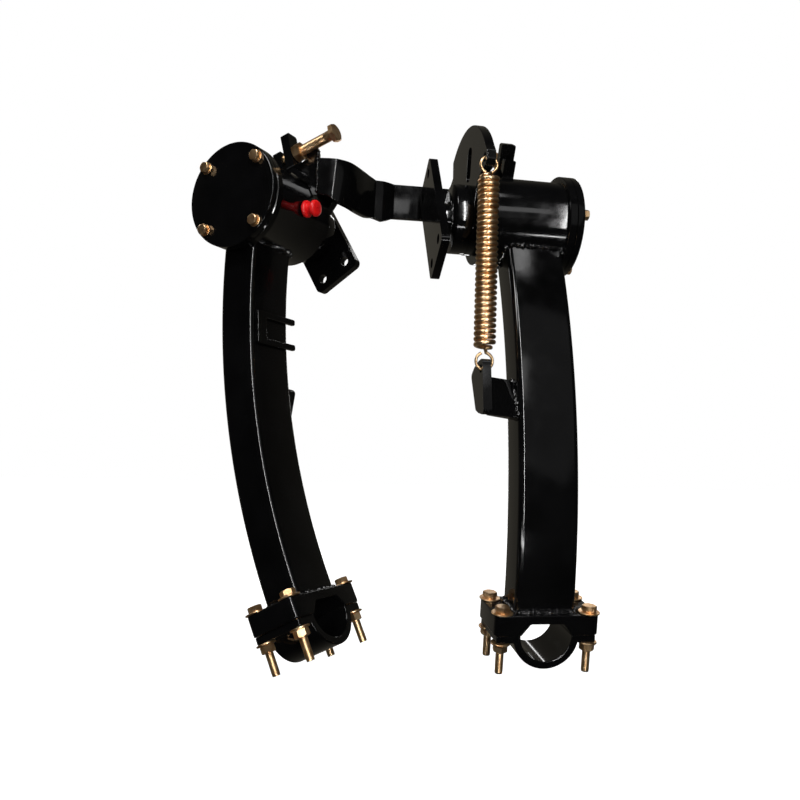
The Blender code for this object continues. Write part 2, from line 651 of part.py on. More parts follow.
def empty(name, parent, matrix):
    made = bpy.data.objects.new(name, None)
    bpy.context.scene.collection.objects.link(made)
    made.parent = parent
    made.matrix_local = matrix
    return made


def build_unit(side, unit, looks):
    """One pivot: its fixed pieces, and the pieces that swing with the arm."""
    turn = Matrix.Rotation(math.radians(unit["turn"]), 4, "Z")
    fixed = empty(f"{side}_fixed", None, shift(*unit["origin"]) @ turn)
    swing = empty(f"{side}_swing", fixed, about_x(-unit["swing"]))
    flange(side, unit, fixed, looks["black"])
    shaft(side, unit, fixed, looks["black"])
    sector_plate(side, unit, fixed, looks["black"])
    stop_bracket(side, unit, fixed, looks["black"])
    stop_bolt(side, fixed, unit, looks["zinc"])
    spring(side, unit, fixed, looks["spring"])
    end_cap(side, unit, swing, looks["black"])
    cap_bolts(side, unit, swing, looks["zinc"])
    housing(side, unit, swing, looks["black"])
    bush(side, unit, swing, looks["bronze"])
    arm(side, unit, swing, looks["black"])
    spring_lug(side, unit, swing, looks["black"])
    clamp(side, unit, swing, looks["black"])
    clamp_bolts(side, swing, looks["zinc"])
    grease_point(side, unit, swing, looks["zinc"], looks["red"])
    if side == "left":
        line_guide(swing, looks["black"])


def main():
    clear_scene()
    looks = {
        "black": material("black_paint", (0.012, 0.012, 0.013), 0.0, 0.12),
        "zinc": material("yellow_zinc", (0.72, 0.50, 0.26), 1.0, 0.3),
        "spring": material("zinc_spring", (0.70, 0.48, 0.24), 1.0, 0.28),
        "bronze": material("bronze", (0.55, 0.38, 0.18), 1.0, 0.4),
        "red": material("red_plastic", (0.75, 0.02, 0.02), 0.0, 0.35),
    }
    for side, unit in UNITS.items():
        build_unit(side, unit, looks)
    tie_strap(looks["black"])


main()
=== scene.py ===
"""The visual model of the sprung swing arm pair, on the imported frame.

Lengths are in millimetres and angles in degrees, scaled to metres when a mesh is made. Each unit has its
own frame: X runs along the pivot from the end cap (0) to the flange, Y points to the arm's bulging side
and Z is up. Angles about the pivot are measured from Z towards Y.
"""
import json
import math

import bmesh
import bpy
from mathutils import Matrix, Vector

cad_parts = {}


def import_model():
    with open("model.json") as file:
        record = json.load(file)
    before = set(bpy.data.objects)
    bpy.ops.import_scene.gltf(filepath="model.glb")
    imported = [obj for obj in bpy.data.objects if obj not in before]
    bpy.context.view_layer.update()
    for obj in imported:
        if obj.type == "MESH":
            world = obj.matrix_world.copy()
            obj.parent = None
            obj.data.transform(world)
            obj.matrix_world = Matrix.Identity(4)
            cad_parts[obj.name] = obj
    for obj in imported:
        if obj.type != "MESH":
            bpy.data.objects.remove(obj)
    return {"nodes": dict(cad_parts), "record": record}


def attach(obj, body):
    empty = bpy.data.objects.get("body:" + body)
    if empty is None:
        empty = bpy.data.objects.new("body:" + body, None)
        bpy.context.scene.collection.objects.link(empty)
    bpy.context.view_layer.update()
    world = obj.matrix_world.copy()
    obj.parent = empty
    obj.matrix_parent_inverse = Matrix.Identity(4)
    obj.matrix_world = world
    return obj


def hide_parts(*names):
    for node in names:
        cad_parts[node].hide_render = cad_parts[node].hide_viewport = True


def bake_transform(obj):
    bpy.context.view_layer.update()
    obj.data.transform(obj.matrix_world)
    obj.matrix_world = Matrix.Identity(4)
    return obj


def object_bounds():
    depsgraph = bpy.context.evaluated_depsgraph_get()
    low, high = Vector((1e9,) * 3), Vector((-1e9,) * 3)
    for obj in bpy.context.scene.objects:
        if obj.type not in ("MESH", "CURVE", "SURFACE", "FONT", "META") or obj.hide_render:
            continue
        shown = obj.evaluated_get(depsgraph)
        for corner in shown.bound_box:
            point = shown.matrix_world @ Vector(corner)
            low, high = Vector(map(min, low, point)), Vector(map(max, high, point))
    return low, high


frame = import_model()
CAD_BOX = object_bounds()
MOUNTS = {mount["name"]: mount for mount in frame["record"]["mounts"]}

MM = 0.001
GAP = 0.3
SIDES = ("left", "right")
SHARP_ANGLE = 35.0
SOFT_ANGLE = 60.0
NEARLY_STRAIGHT = 86.0
ROUND_SIDES = 48
CUT_PAST = 2.0

# Places along the pivot, and radii about it.
CAP_THICK = 9.4
COLLAR_X = (9.7, 20.0)
NUT_POCKET_END = 30.0
HOUSING_END = 130.0
SECTOR_X = (132.0, 144.0)
BOSS_X = (144.3, 165.0)
FLANGE_X = (181.0, 192.0)
CAP_RADIUS = 67.2
CAP_RIM = 1.4
HOUSING_RADIUS = 59.0
HOUSING_LIP = 0.8
BOSS_RADIUS = 46.0
BOSS_LIP = 1.5
NUT_POCKET_RADIUS = 38.0
BORE_RADIUS = 30.0
SHAFT_RADIUS = 20.0
SHAFT_START = 12.0
TURNED_SIDES = 128

# The bolts on the end cap: where they sit, and how each hexagon happens to be turned.
CAP_BOLT_CIRCLE = 57.5
CAP_CLOCK = {"left": 36.0, "right": 97.0}
CAP_BOLT_TWIST = (9.0, 17.0)

# The mounting flange and the sector plate with its ear for the spring.
FLANGE_SIZE = (75.0, 165.0)
FLANGE_CORNER = 8.0
FLANGE_HOLE = 6.5
FLANGE_HOLES_AT = (21.0, 66.0)
FLANGE_CLOCK = {"left": 30.8, "right": -31.5}
PLATE_BEVEL = 1.2
SECTOR_RADIUS = 122.0
DOME_ARC = (-30.5, 60.0)
DOME_CENTRE = (-10.0, 4.0)
RIGHT_EAR = [(103.0, 56.0), (103.5, 44.0), (98.0, 38.0), (80.0, 38.0), (60.0, 30.0)]
RIGHT_FOOT = [(-94.0, 18.0), (-94.0, 77.0), (-72.0, 86.0)]
SECTOR_SLOT = [(21.5, 82.0), (16.0, 57.0)]
SECTOR_SLOT_HALF = 9.5
LEFT_DISC_RADIUS = 50.0
LEFT_LOBE = 20.0
LEFT_EAR_INSET = 4.0
LEFT_EAR = [(118.0, 46.0), (118.0, 36.0), (112.0, 28.5), (92.0, 28.5), (66.0, 20.0)]

# The arm, a bent tube: its centre line in (y, z) runs through three points.
ARM_X = 59.0
ARM_SIZE = (76.0, 50.0)
ARM_CORNER = 7.0
ARM_TOP = (10.5, -50.0)
ARM_MIDDLE = (36.0, -277.0)
ARM_FOOT = (0.0, -504.0)
ARM_STEPS = 72
ARM_SUNK = 0.2

# The tube clamp: a notched block over a round saddle.
BLOCK_HALF = (65.0, 35.0)
BLOCK_THICK = 25.0
BLOCK_CORNER = 7.0
BLOCK_BEVEL = 1.5
SEAT_HALF_WIDTH = 32.0
NOTCH_HALF_TOP = 20.5
NOTCH_TOP = -11.0
CAP_HALF = (62.0, 33.0)
CAP_FLANGE = 9.0
CAP_BEVEL = 1.3
TROUGH_RADIUS = 41.0
TROUGH_STEPS = 40
CLAMP_BOLT_AT = (54.6, 26.0)
CLAMP_BOLT_TWIST = 23.0
CLAMP_FLATS = 16.0
CLAMP_WASHER = (5.2, 11.7)
CLAMP_WASHER_THICK = 2.1
CLAMP_NUT = (2.2, 11.0)

# Fasteners: shares of the width across flats, and the thread's ridge as shares of its pitch and depth.
HEAD_CROWN = 0.40
HEAD_RIM = 0.475
HEAD_FACE = 0.48
SPRING_WASHER_RIM = 0.49
CHAMFER_SLOPE = 0.577
THREAD_DEPTH = 0.16
THREAD_RIDGE = [(0.0, 0.0), (0.25, 0.12), (0.6, 1.0), (0.8, 0.5)]

# The spring and the tab that its lower hook holds.
SPRING_X = 138.0
EARS = {"left": (105.0, 31.5), "right": (92.0, 41.0)}
COIL_RADIUS = 10.7
COIL_PITCH = 6.7
COIL_STEPS = 24
COIL_ENDS = (13.0, 15.5)
WIRE_RADIUS = 3.15
WIRE_SIDES = 12
TAPER_STEPS = 14
TAPER_START = 4
HOOK_RADIUS = 10.5
HOOK_WIRE = 1.9
HOOK_TURN = 0.94
HOOK_STEPS = 28
HOOK_HOLE = 5.4
HOOK_BITE = 9.2
LUG_HOOK = {"left": (82.0, -223.5), "right": (56.0, -211.5)}
LUG_TAB_X = (131.0, 142.0)
LUG_TAB = [(-46.0, -7.5), (-30.0, -0.5), (-10.0, 2.7), (6.0, 2.7), (6.0, -68.5), (-17.0, -61.5),
           (-29.0, -55.5)]
LUG_CORNER = 6.0
TAB_BEVEL = 1.6
WEB_AT_TAB = [(-2.0, -18.0), (5.9, -20.5), (5.9, -67.5), (-2.0, -67.0)]
WEB_AT_ARM = [(30.6, -22.5), (39.4, -18.5), (60.8, -70.5), (52.2, -72.0)]
WEB_IN_TAB = 5.0

# The stop bolt in its bracket, and the pad on the housing that meets it.
STOP_X = 88.0
STOP_SEAT = (-31.2, 79.7)
STOP_TILT = 15.1
STOP_CLOCK = {"left": 0.0, "right": 15.7}
STOP_FLATS = 21.5
STOP_BOLT_RADIUS = 7.0
STOP_PITCH = 2.0
STOP_PLAIN = 8.0
STOP_TWIST = 8.0
STOP_BOLT_REACH = 18.9
STOP_HEAD = (60.6, 68.1)
LOCK_NUT_END = 12.5
LOCK_NUT_ROOM = 12.9
LOCK_NUT_TWIST = 12.0
STOP_LUG = [(-16.0, -22.0), (10.0, -22.0), (10.0, 29.5), (-10.0, 29.5), (-10.0, -4.0), (-16.0, -12.0)]
STOP_LUG_THICK = 12.5
STOP_LUG_CORNER = 3.0
STOP_BRIDGE = (60.2, 68.0)
STOP_BRIDGE_X = (80.0, SECTOR_X[0] - GAP)
STOP_BRIDGE_ARC = (-48.0, -20.0)
STOP_BEVEL = 2.0
GUSSET_X = (95.2, 101.2)
GUSSET_ARC = (-68.0, -22.0)
GUSSET_EDGE = [(-26.0, 67.0), (-34.0, 69.0), (-42.0, 80.0), (-49.0, 91.0), (-58.5, 89.0), (-62.6, 78.0),
               (-62.6, 21.0)]
PAD_THICK = 12.0
PAD_HALF = (8.0, 17.0)
PAD_DROP = 6.0
PAD_CORNER = 2.0

# The grease nipple and its cap, on the housing.
GREASE_X = 76.0
GREASE_ANGLE = -104.0
GREASE_CAP_RADIUS = 11.0
NIPPLE_ROOT = 50.0
NIPPLE_FLATS = 9.0

# The line guide on the left arm: two prongs on a back bar.
GUIDE_Z = (-187.0, -145.0)
GUIDE_Y = (28.0, 45.0, 104.0)
GUIDE_PRONG = 8.0
GUIDE_THICK = 6.0
GUIDE_CORNER = 2.5

# The tie strap: (x, y) along its middle, then its lower and upper edge and its lean at each of those places.
STRAP_THICK = 8.0
STRAP_CORNER = 1.3
STRAP_PATH = [(-150.0, 8.0), (-137.0, 6.0), (-127.0, 5.5), (-114.0, 10.5), (-104.5, 18.5), (-91.0, 36.0),
              (-78.0, 55.0), (-67.0, 69.5), (-55.0, 71.5), (-46.5, 76.5), (-38.0, 82.0), (5.0, 82.0),
              (47.7, 82.0)]
STRAP_LOW = [20.5, 19.5, 15.0, 11.0, 10.0, 9.5, 11.5, 16.5, 13.0, 17.0, 22.0, 22.5, 22.5]
STRAP_TOP = [70.5, 70.5, 70.5, 70.5, 70.5, 70.5, 71.0, 71.0, 71.5, 72.0, 72.0, 72.5, 72.5]
STRAP_LEAN = [0.0, -2.0, -5.0, -4.6, -4.2, -3.5, -2.8, -2.0, -1.0, 0.0, 0.0, 0.0, 0.0]
STRAP_CREASES = (2, 7, 8, 10)

# Welds: the radius of each run, and the ripple that a welder's steady feed leaves.
ARM_TOP_WELD = 3.6
ARM_FOOT_WELD = 3.2
LUG_WELD = 4.4
STRAP_WELD = 2.6
SHAFT_WELD = 2.4
WELD_STEP = 0.8
WELD_SIDES = 12
COIN_LENGTH = 3.3

# In metres: the camera, the floor and the lamps (name, place, target, size, brightness).
CAMERA_AT = (-0.2018, -0.9549, -0.3335)
CAMERA_RIGHT = (0.98450, -0.17392, 0.02279)
CAMERA_UP = (-0.03776, -0.08327, 0.99581)
CAMERA_LENS = 33.57
FLOOR_HALF = 9.0
FLOOR_DROP = 0.006
LAMPS = [
    ("tall_strip", (0.04, -2.0, 0.4), (0.0, 0.0, 0.0), (0.07, 2.4), 60.0),
    ("window", (0.92, -1.75, 2.45), (0.15, 0.0, 0.0), (0.3, 0.5), 3.5),
    ("dim_wall", (0.85, -1.75, 0.45), (0.1, 0.0, -0.1), (0.9, 1.5), 0.14),
    ("bounce", (0.42, -1.9, 0.62), (0.0, 0.0, 0.0), (0.4, 0.4), 1.6),
    ("soft_box", (-1.1, -1.2, 1.5), (-0.1, 0.0, -0.1), (0.8, 0.8), 12.0),
    ("low_strip", (-0.1, -0.65, -0.56), (-0.1, 0.0, 0.0), (0.6, 0.03), 24.0),
    ("rear_strip", (0.9, 1.9, 0.4), (0.0, 0.0, -0.1), (0.12, 2.2), 6.0),
    ("rear_box", (-1.5, 1.5, 1.1), (0.0, 0.0, -0.1), (0.6, 1.0), 2.5),
]


# ---- outlines and meshes

def polar(radius, angle):
    """(y, z) at an angle measured from Z towards Y."""
    turn = math.radians(angle)
    return radius * math.sin(turn), radius * math.cos(turn)


def arc(radius, start, stop, steps, centre=(0.0, 0.0)):
    """Points along an arc, between two angles measured from Z towards Y."""
    points = []
    for step in range(steps + 1):
        y, z = polar(radius, start + (stop - start) * step / steps)
        points.append((centre[0] + y, centre[1] + z))
    return points


def rounded(corners, radius, steps=6):
    """A closed outline with each corner replaced by an arc of the given radius."""
    points = []
    count = len(corners)
    for i, corner in enumerate(corners):
        here = Vector(corner)
        to_back = Vector(corners[i - 1]) - here
        to_ahead = Vector(corners[(i + 1) % count]) - here
        back, ahead = to_back.normalized(), to_ahead.normalized()
        half = back.angle(ahead) / 2
        if half > math.radians(NEARLY_STRAIGHT):
            points.append(tuple(here))
            continue
        reach = min(radius / math.tan(half), 0.45 * to_back.length, 0.45 * to_ahead.length)
        bend = reach * math.tan(half)
        centre = here + (back + ahead).normalized() * (bend / math.sin(half))
        first = here + back * reach - centre
        sweep = math.pi - 2 * half
        side = 1.0 if back.x * ahead.y - back.y * ahead.x < 0 else -1.0
        for step in range(steps + 1):
            point = first.copy()
            point.rotate(Matrix.Rotation(side * sweep * step / steps, 2))
            points.append(tuple(centre + point))
    return points


def rectangle(half_width, half_height, centre=(0.0, 0.0)):
    across, up = centre
    return [(across - half_width, up - half_height), (across + half_width, up - half_height),
            (across + half_width, up + half_height), (across - half_width, up + half_height)]


def past(span):
    """A span made longer at both ends, for a tool that cuts right through."""
    return span[0] - CUT_PAST, span[1] + CUT_PAST


def mesh_of(name, bm, sharp=SHARP_ANGLE):
    """A mesh in metres from one built in millimetres, smooth but for the edges above an angle."""
    bmesh.ops.recalc_face_normals(bm, faces=bm.faces)
    bmesh.ops.scale(bm, vec=(MM, MM, MM), verts=bm.verts)
    mesh = bpy.data.meshes.new(name)
    bm.to_mesh(mesh)
    bm.free()
    mesh.shade_smooth()
    mesh.set_sharp_from_angle(angle=math.radians(sharp))
    return mesh


def loft(name, rings, closed=False, sharp=SHARP_ANGLE):
    """A surface through rings of equally many points; the ends are capped unless it closes on itself."""
    bm = bmesh.new()
    rows = [[bm.verts.new(point) for point in ring] for ring in rings]
    pairs = list(zip(rows, rows[1:]))
    if closed:
        pairs.append((rows[-1], rows[0]))
    for lower, upper in pairs:
        for i in range(len(lower)):
            j = (i + 1) % len(lower)
            bm.faces.new((lower[i], lower[j], upper[j], upper[i]))
    if not closed:
        bm.faces.new(rows[0])
        bm.faces.new(rows[-1])
    return mesh_of(name, bm, sharp)


def plate_x(name, outline, low, high):
    return loft(name, [[(x, y, z) for y, z in outline] for x in (low, high)])


def plate_y(name, outline, low, high):
    return loft(name, [[(x, y, z) for x, z in outline] for y in (low, high)])


def plate_z(name, outline, low, high):
    return loft(name, [[(x, y, z) for x, y in outline] for z in (low, high)])


def turned(name, profile, sides=96, closed=False):
    """A profile of (x, radius) turned about the X axis."""
    rings = [[(x, *polar(radius, 360.0 * i / sides)) for i in range(sides)] for x, radius in profile]
    return loft(name, rings, closed)


def shift(x=0.0, y=0.0, z=0.0):
    return Matrix.Translation((x * MM, y * MM, z * MM))


def about_x(angle):
    """A turn about X that adds the angle to an angle measured from Z towards Y."""
    return Matrix.Rotation(math.radians(-angle), 4, "X")


DOWN = Matrix.Rotation(math.radians(90), 4, "Y")
OUTWARD = Matrix.Rotation(math.radians(-90), 4, "Y")


# ---- materials

def shader_of(name):
    made = bpy.data.materials.new(name)
    made.use_nodes = True
    return made, made.node_tree, made.node_tree.nodes["Principled BSDF"]


def noise(tree, scale, detail=3.0, distortion=0.0):
    """Noise in the object's own metres, so a scale of 100 has lumps of about a centimetre."""
    place = tree.nodes.new("ShaderNodeTexCoord")
    made = tree.nodes.new("ShaderNodeTexNoise")
    made.inputs["Scale"].default_value = scale
    made.inputs["Detail"].default_value = detail
    made.inputs["Distortion"].default_value = distortion
    tree.links.new(place.outputs["Object"], made.inputs["Vector"])
    return made


def spread(tree, shader, socket, source, low, high):
    """The source's middle values spread over two colours or greys, into one of the shader's sockets."""
    made = tree.nodes.new("ShaderNodeValToRGB")
    for element, position, colour in zip(made.color_ramp.elements, (0.3, 0.7), (low, high)):
        element.position, element.color = position, colour
    tree.links.new(source.outputs["Fac"], made.inputs["Fac"])
    tree.links.new(made.outputs["Color"], shader.inputs[socket])


def grey(value):
    return (value, value, value, 1.0)


def bump(tree, shader, source, strength, distance, before=None):
    made = tree.nodes.new("ShaderNodeBump")
    made.inputs["Strength"].default_value = strength
    made.inputs["Distance"].default_value = distance
    tree.links.new(source.outputs["Fac"], made.inputs["Height"])
    if before:
        tree.links.new(before.outputs["Normal"], made.inputs["Normal"])
    tree.links.new(made.outputs["Normal"], shader.inputs["Normal"])
    return made


def black_paint(name="black_paint", roughness=(0.07, 0.15), ripple=0.0002):
    """Gloss paint over steel: slow waves from the brush or gun, a fine orange peel and faint dust."""
    made, tree, shader = shader_of(name)
    spread(tree, shader, "Base Color", noise(tree, 14.0), (0.0012, 0.0012, 0.0013, 1.0),
           (0.0032, 0.0032, 0.0034, 1.0))
    spread(tree, shader, "Roughness", noise(tree, 55.0, 5.0), grey(roughness[0]), grey(roughness[1]))
    wave = bump(tree, shader, noise(tree, 38.0, 2.0), 0.35, ripple)
    bump(tree, shader, noise(tree, 420.0, 2.0), 0.12, 0.00008, wave)
    return made


def yellow_zinc(name="yellow_zinc", pale=(0.92, 0.66, 0.38, 1.0), deep=(0.62, 0.34, 0.15, 1.0),
                roughness=(0.3, 0.4)):
    """Yellow-passivated zinc: gold with bronze and pale patches, slightly satin."""
    made, tree, shader = shader_of(name)
    spread(tree, shader, "Base Color", noise(tree, 75.0, 3.0, 0.4), deep, pale)
    spread(tree, shader, "Roughness", noise(tree, 300.0, 4.0), grey(roughness[0]), grey(roughness[1]))
    bump(tree, shader, noise(tree, 700.0, 2.0), 0.06, 0.00003)
    shader.inputs["Metallic"].default_value = 1.0
    return made


def red_plastic():
    """Smooth moulded plastic with a slightly uneven red."""
    made, tree, shader = shader_of("red_plastic")
    spread(tree, shader, "Base Color", noise(tree, 90.0), (0.66, 0.006, 0.008, 1.0),
           (0.84, 0.012, 0.012, 1.0))
    spread(tree, shader, "Roughness", noise(tree, 250.0), grey(0.26), grey(0.4))
    bump(tree, shader, noise(tree, 500.0), 0.1, 0.0001)
    return made


def bronze():
    """Plain turned bronze, for the bushes."""
    made, tree, shader = shader_of("bronze")
    spread(tree, shader, "Base Color", noise(tree, 60.0), (0.42, 0.25, 0.1, 1.0), (0.6, 0.4, 0.2, 1.0))
    bump(tree, shader, noise(tree, 700.0), 0.2, 0.0001)
    shader.inputs["Metallic"].default_value = 1.0
    shader.inputs["Roughness"].default_value = 0.38
    return made


LOOKS = {
    "black_paint": black_paint(),
    "weld": black_paint("painted_weld", (0.08, 0.2), 0.0004),
    "yellow_zinc": yellow_zinc(),
    "zinc_spring": yellow_zinc("zinc_spring", (0.90, 0.64, 0.38, 1.0), (0.72, 0.43, 0.2, 1.0),
                               (0.27, 0.34)),
    "bronze": bronze(),
    "red_plastic": red_plastic(),
}


# ---- frames of the two units

def arc_through(first, middle, last):
    """Centre and radius of the circle through three (y, z) points."""
    rows = []
    for near, far in ((first, middle), (middle, last)):
        rows.append((far[0] - near[0], far[1] - near[1],
                     (far[0] ** 2 - near[0] ** 2 + far[1] ** 2 - near[1] ** 2) / 2))
    (a, b, e), (c, d, f) = rows
    scale = a * d - b * c
    centre = Vector(((e * d - b * f) / scale, (a * f - e * c) / scale))
    return centre, (Vector(first) - centre).length


ARM_CENTRE, ARM_RADIUS = arc_through(ARM_TOP, ARM_MIDDLE, ARM_FOOT)


def arm_angle(point):
    return math.atan2(point[1] - ARM_CENTRE.y, point[0] - ARM_CENTRE.x)


ARM_LEAN = -math.degrees(arm_angle(ARM_FOOT))


def fixed_frame(side):
    """The unit's fixed frame, from its flange face in the record."""
    mount = MOUNTS[f"{side}_flange_face"]
    x = Vector(mount["axis"]).normalized()
    z = Vector((0.0, 0.0, 1.0))
    origin = Vector(mount["pos_m"]) - x * FLANGE_X[1] * MM
    return Matrix.Translation(origin) @ Matrix((x, z.cross(x), z)).transposed().to_4x4()


FIXED = {side: fixed_frame(side) for side in SIDES}


def swing_of(side):
    """How far the arm hangs from the unit's Z, from the clamp seat's direction in the record."""
    seat = FIXED[side].to_3x3().transposed() @ -Vector(MOUNTS[f"{side}_clamp_seat"]["axis"])
    return ARM_LEAN - math.degrees(math.atan2(seat.y, seat.z))


SWING_ANGLE = {side: swing_of(side) for side in SIDES}
SWING = {side: FIXED[side] @ about_x(-SWING_ANGLE[side]) for side in SIDES}
CLAMP = {side: SWING[side] @ shift(ARM_X, *ARM_FOOT) @ about_x(ARM_LEAN) for side in SIDES}


def stop_frame(side):
    """Origin where the stop bolt leaves its lug, X along the bolt to its head."""
    tilt = math.radians(STOP_TILT)
    outward = Vector((0.0, -math.cos(tilt), math.sin(tilt)))
    upward = Vector((0.0, math.sin(tilt), math.cos(tilt)))
    turn = Matrix((outward, outward.cross(upward), upward)).transposed().to_4x4()
    return about_x(STOP_CLOCK[side]) @ shift(STOP_X, *STOP_SEAT) @ turn


def turned_by(point, angle):
    turn = math.radians(angle)
    y, z = point
    return Vector((y * math.cos(turn) - z * math.sin(turn), y * math.sin(turn) + z * math.cos(turn)))


def spring_line(side):
    """The spring's (y, z) direction in the fixed frame, downwards, and its length between hooks."""
    run = turned_by(LUG_HOOK[side], SWING_ANGLE[side]) - Vector(EARS[side])
    return run.normalized(), run.length


# ---- pieces

def linked(name, data):
    """A new object in the scene."""
    made = bpy.data.objects.new(name, data)
    bpy.context.scene.collection.objects.link(made)
    return made


def piece(name, mesh, matrix, look, bevel=0.0, cuts=(), joins=()):
    """A finished object: holes cut and shapes joined first, then its edges rounded."""
    made = linked(name, mesh)
    made.matrix_world = matrix
    for operation, tools in (("UNION", joins), ("DIFFERENCE", cuts)):
        for tool_mesh, tool_matrix in tools:
            carve(made, tool_mesh, tool_matrix, operation)
    made.data.transform(matrix)
    made.matrix_world = Matrix()
    if bevel:
        edge = made.modifiers.new("Bevel", "BEVEL")
        edge.width = bevel * MM
        edge.segments = 3
        edge.limit_method = "ANGLE"
        edge.angle_limit = math.radians(32)
        edge.harden_normals = True
    made.data.materials.clear()
    made.data.materials.append(LOOKS[look])
    return made


def carve(body, tool_mesh, tool_matrix, operation):
    """Cuts or joins a shape, given in the body's own space, and keeps only the result."""
    tool = linked("tool", tool_mesh)
    tool.matrix_world = body.matrix_world @ tool_matrix
    boolean = body.modifiers.new("Boolean", "BOOLEAN")
    boolean.operation = operation
    boolean.solver = "EXACT"
    boolean.object = tool
    bpy.context.view_layer.update()
    evaluated = body.evaluated_get(bpy.context.evaluated_depsgraph_get())
    result = bpy.data.meshes.new_from_object(evaluated)
    body.modifiers.clear()
    body.data = result
    body.data.shade_smooth()
    body.data.set_sharp_from_angle(angle=math.radians(SHARP_ANGLE))
    bpy.data.objects.remove(tool)


def settle(made, body, *nodes):
    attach(made, body)
    if nodes:
        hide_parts(*nodes)
    return made


def hole(radius, low, high):
    return turned("hole", [(low, radius), (high, radius)], ROUND_SIDES)


def even_path(path, closed, step):
    """Points at nearly even steps along a path of points."""
    points = [Vector(point) for point in path]
    if closed:
        points.append(points[0])
    spaced = []
    for near, far in zip(points, points[1:]):
        steps = max(1, round((far - near).length / step))
        spaced += [near.lerp(far, k / steps) for k in range(steps)]
    if not closed:
        spaced.append(points[-1])
    return spaced


def weld_swell(run, radius):
    """The thickness at a distance along a run, as a share of its radius: coins of uneven size."""
    coin = (run / (COIN_LENGTH + 0.5 * math.sin(run * 0.21))) % 1.0
    return 0.76 + 0.46 * coin + 0.12 * math.sin(run * 0.19 + radius) + 0.08 * math.sin(run * 0.71)


def weld_side(along):
    """A direction across a weld run, level where the run isn't upright."""
    if abs(along.z) > 0.99:
        return along.orthogonal().normalized()
    return along.cross(Vector((0, 0, 1))).normalized()


def weld_bead(name, path, radius, matrix, body, closed=False):
    """A weld run of overlapping ripples along a path of points, half sunk in the joint it covers."""
    spaced = even_path(path, closed, WELD_STEP)
    rings = []
    count = len(spaced)
    for i, centre in enumerate(spaced):
        ahead = spaced[(i + 1) % count] if closed else spaced[min(i + 1, count - 1)]
        behind = spaced[i - 1] if closed or i else spaced[0]
        along = (ahead - behind).normalized()
        side = weld_side(along)
        up = along.cross(side)
        run = i * WELD_STEP
        swell = weld_swell(run, radius)
        if not closed:
            swell *= min(1.0, 0.4 + 0.2 * min(i, count - 1 - i))
        weave = 0.5 * math.sin(run * 0.43) + 0.3 * math.sin(run * 1.27 + 0.7)
        ring = []
        for k in range(WELD_SIDES):
            bend = 2 * math.pi * k / WELD_SIDES
            lump = radius * swell * (1.0 + 0.07 * math.sin(3 * bend + run * 0.9))
            across, rise = lump * math.cos(bend) + weave, lump * math.sin(bend) + 0.5 * weave
            ring.append(centre + side * across + up * rise)
        rings.append(ring)
    bead = piece(name, loft(name, rings, closed, SOFT_ANGLE), matrix, "weld")
    return settle(bead, body)


# Fasteners: all are built along X, seat at 0, head towards negative x.

def hex_reach(angle, flats):
    """How far a hexagon reaches at an angle."""
    return flats / 2 / math.cos(math.radians((angle % 60.0) - 30.0))


def hex_ring(x, flats, chamfer=0.0):
    """A hexagon; a chamfer of 1 or -1 drops its corners that way along X, as a turned edge leaves them."""
    ring = []
    for i in range(ROUND_SIDES):
        angle = 360.0 * i / ROUND_SIDES
        reach = hex_reach(angle, flats)
        fall = (reach - flats * HEAD_RIM) * CHAMFER_SLOPE * chamfer
        ring.append((x + fall, *polar(reach, angle)))
    return ring


def round_ring(x, radius):
    return [(x, *polar(radius, 360.0 * i / ROUND_SIDES)) for i in range(ROUND_SIDES)]


def head_rings(low, high, flats):
    """A bolt's head: a chamfered outer end, and a washer face under it."""
    face, under = flats * HEAD_FACE, high - 0.4
    return [round_ring(low, flats * HEAD_CROWN), round_ring(low, flats * HEAD_RIM), hex_ring(low, flats, 1.0),
            hex_ring(under, flats), round_ring(under, face), round_ring(high, face)]


def washer_rings(low, high, radius):
    edge = 0.35
    return [round_ring(low, radius - edge), round_ring(low + edge, radius),
            round_ring(high - edge, radius), round_ring(high, radius - edge)]


def thread(name, radius, pitch, low, high):
    """A helical ridge from low to high along X."""
    sides = 24
    depth = THREAD_DEPTH * pitch
    turns = int((high - low) / pitch) - 1
    bm = bmesh.new()
    rows = []
    for n in range(turns * sides + 1):
        angle = 360.0 * (n % sides) / sides
        row = []
        for along, cut in THREAD_RIDGE:
            x = low + pitch * (n / sides + along)
            row.append(bm.verts.new((x, *polar(radius - depth * cut, angle))))
        rows.append(row)
    for n in range(turns * sides):
        for c in range(len(THREAD_RIDGE) - 1):
            bm.faces.new((rows[n][c], rows[n + 1][c], rows[n + 1][c + 1], rows[n][c + 1]))
        if n + sides + 1 <= turns * sides:
            bm.faces.new((rows[n][-1], rows[n + 1][-1], rows[n + 1 + sides][0], rows[n + sides][0]))
    return mesh_of(name, bm, 25.0)


def merged(name, meshes):
    """Several meshes as one, kept as separate shells."""
    bm = bmesh.new()
    for part in meshes:
        bm.from_mesh(part)
    mesh = bpy.data.meshes.new(name)
    bm.to_mesh(mesh)
    bm.free()
    mesh.shade_smooth()
    mesh.set_sharp_from_angle(angle=math.radians(30))
    return mesh


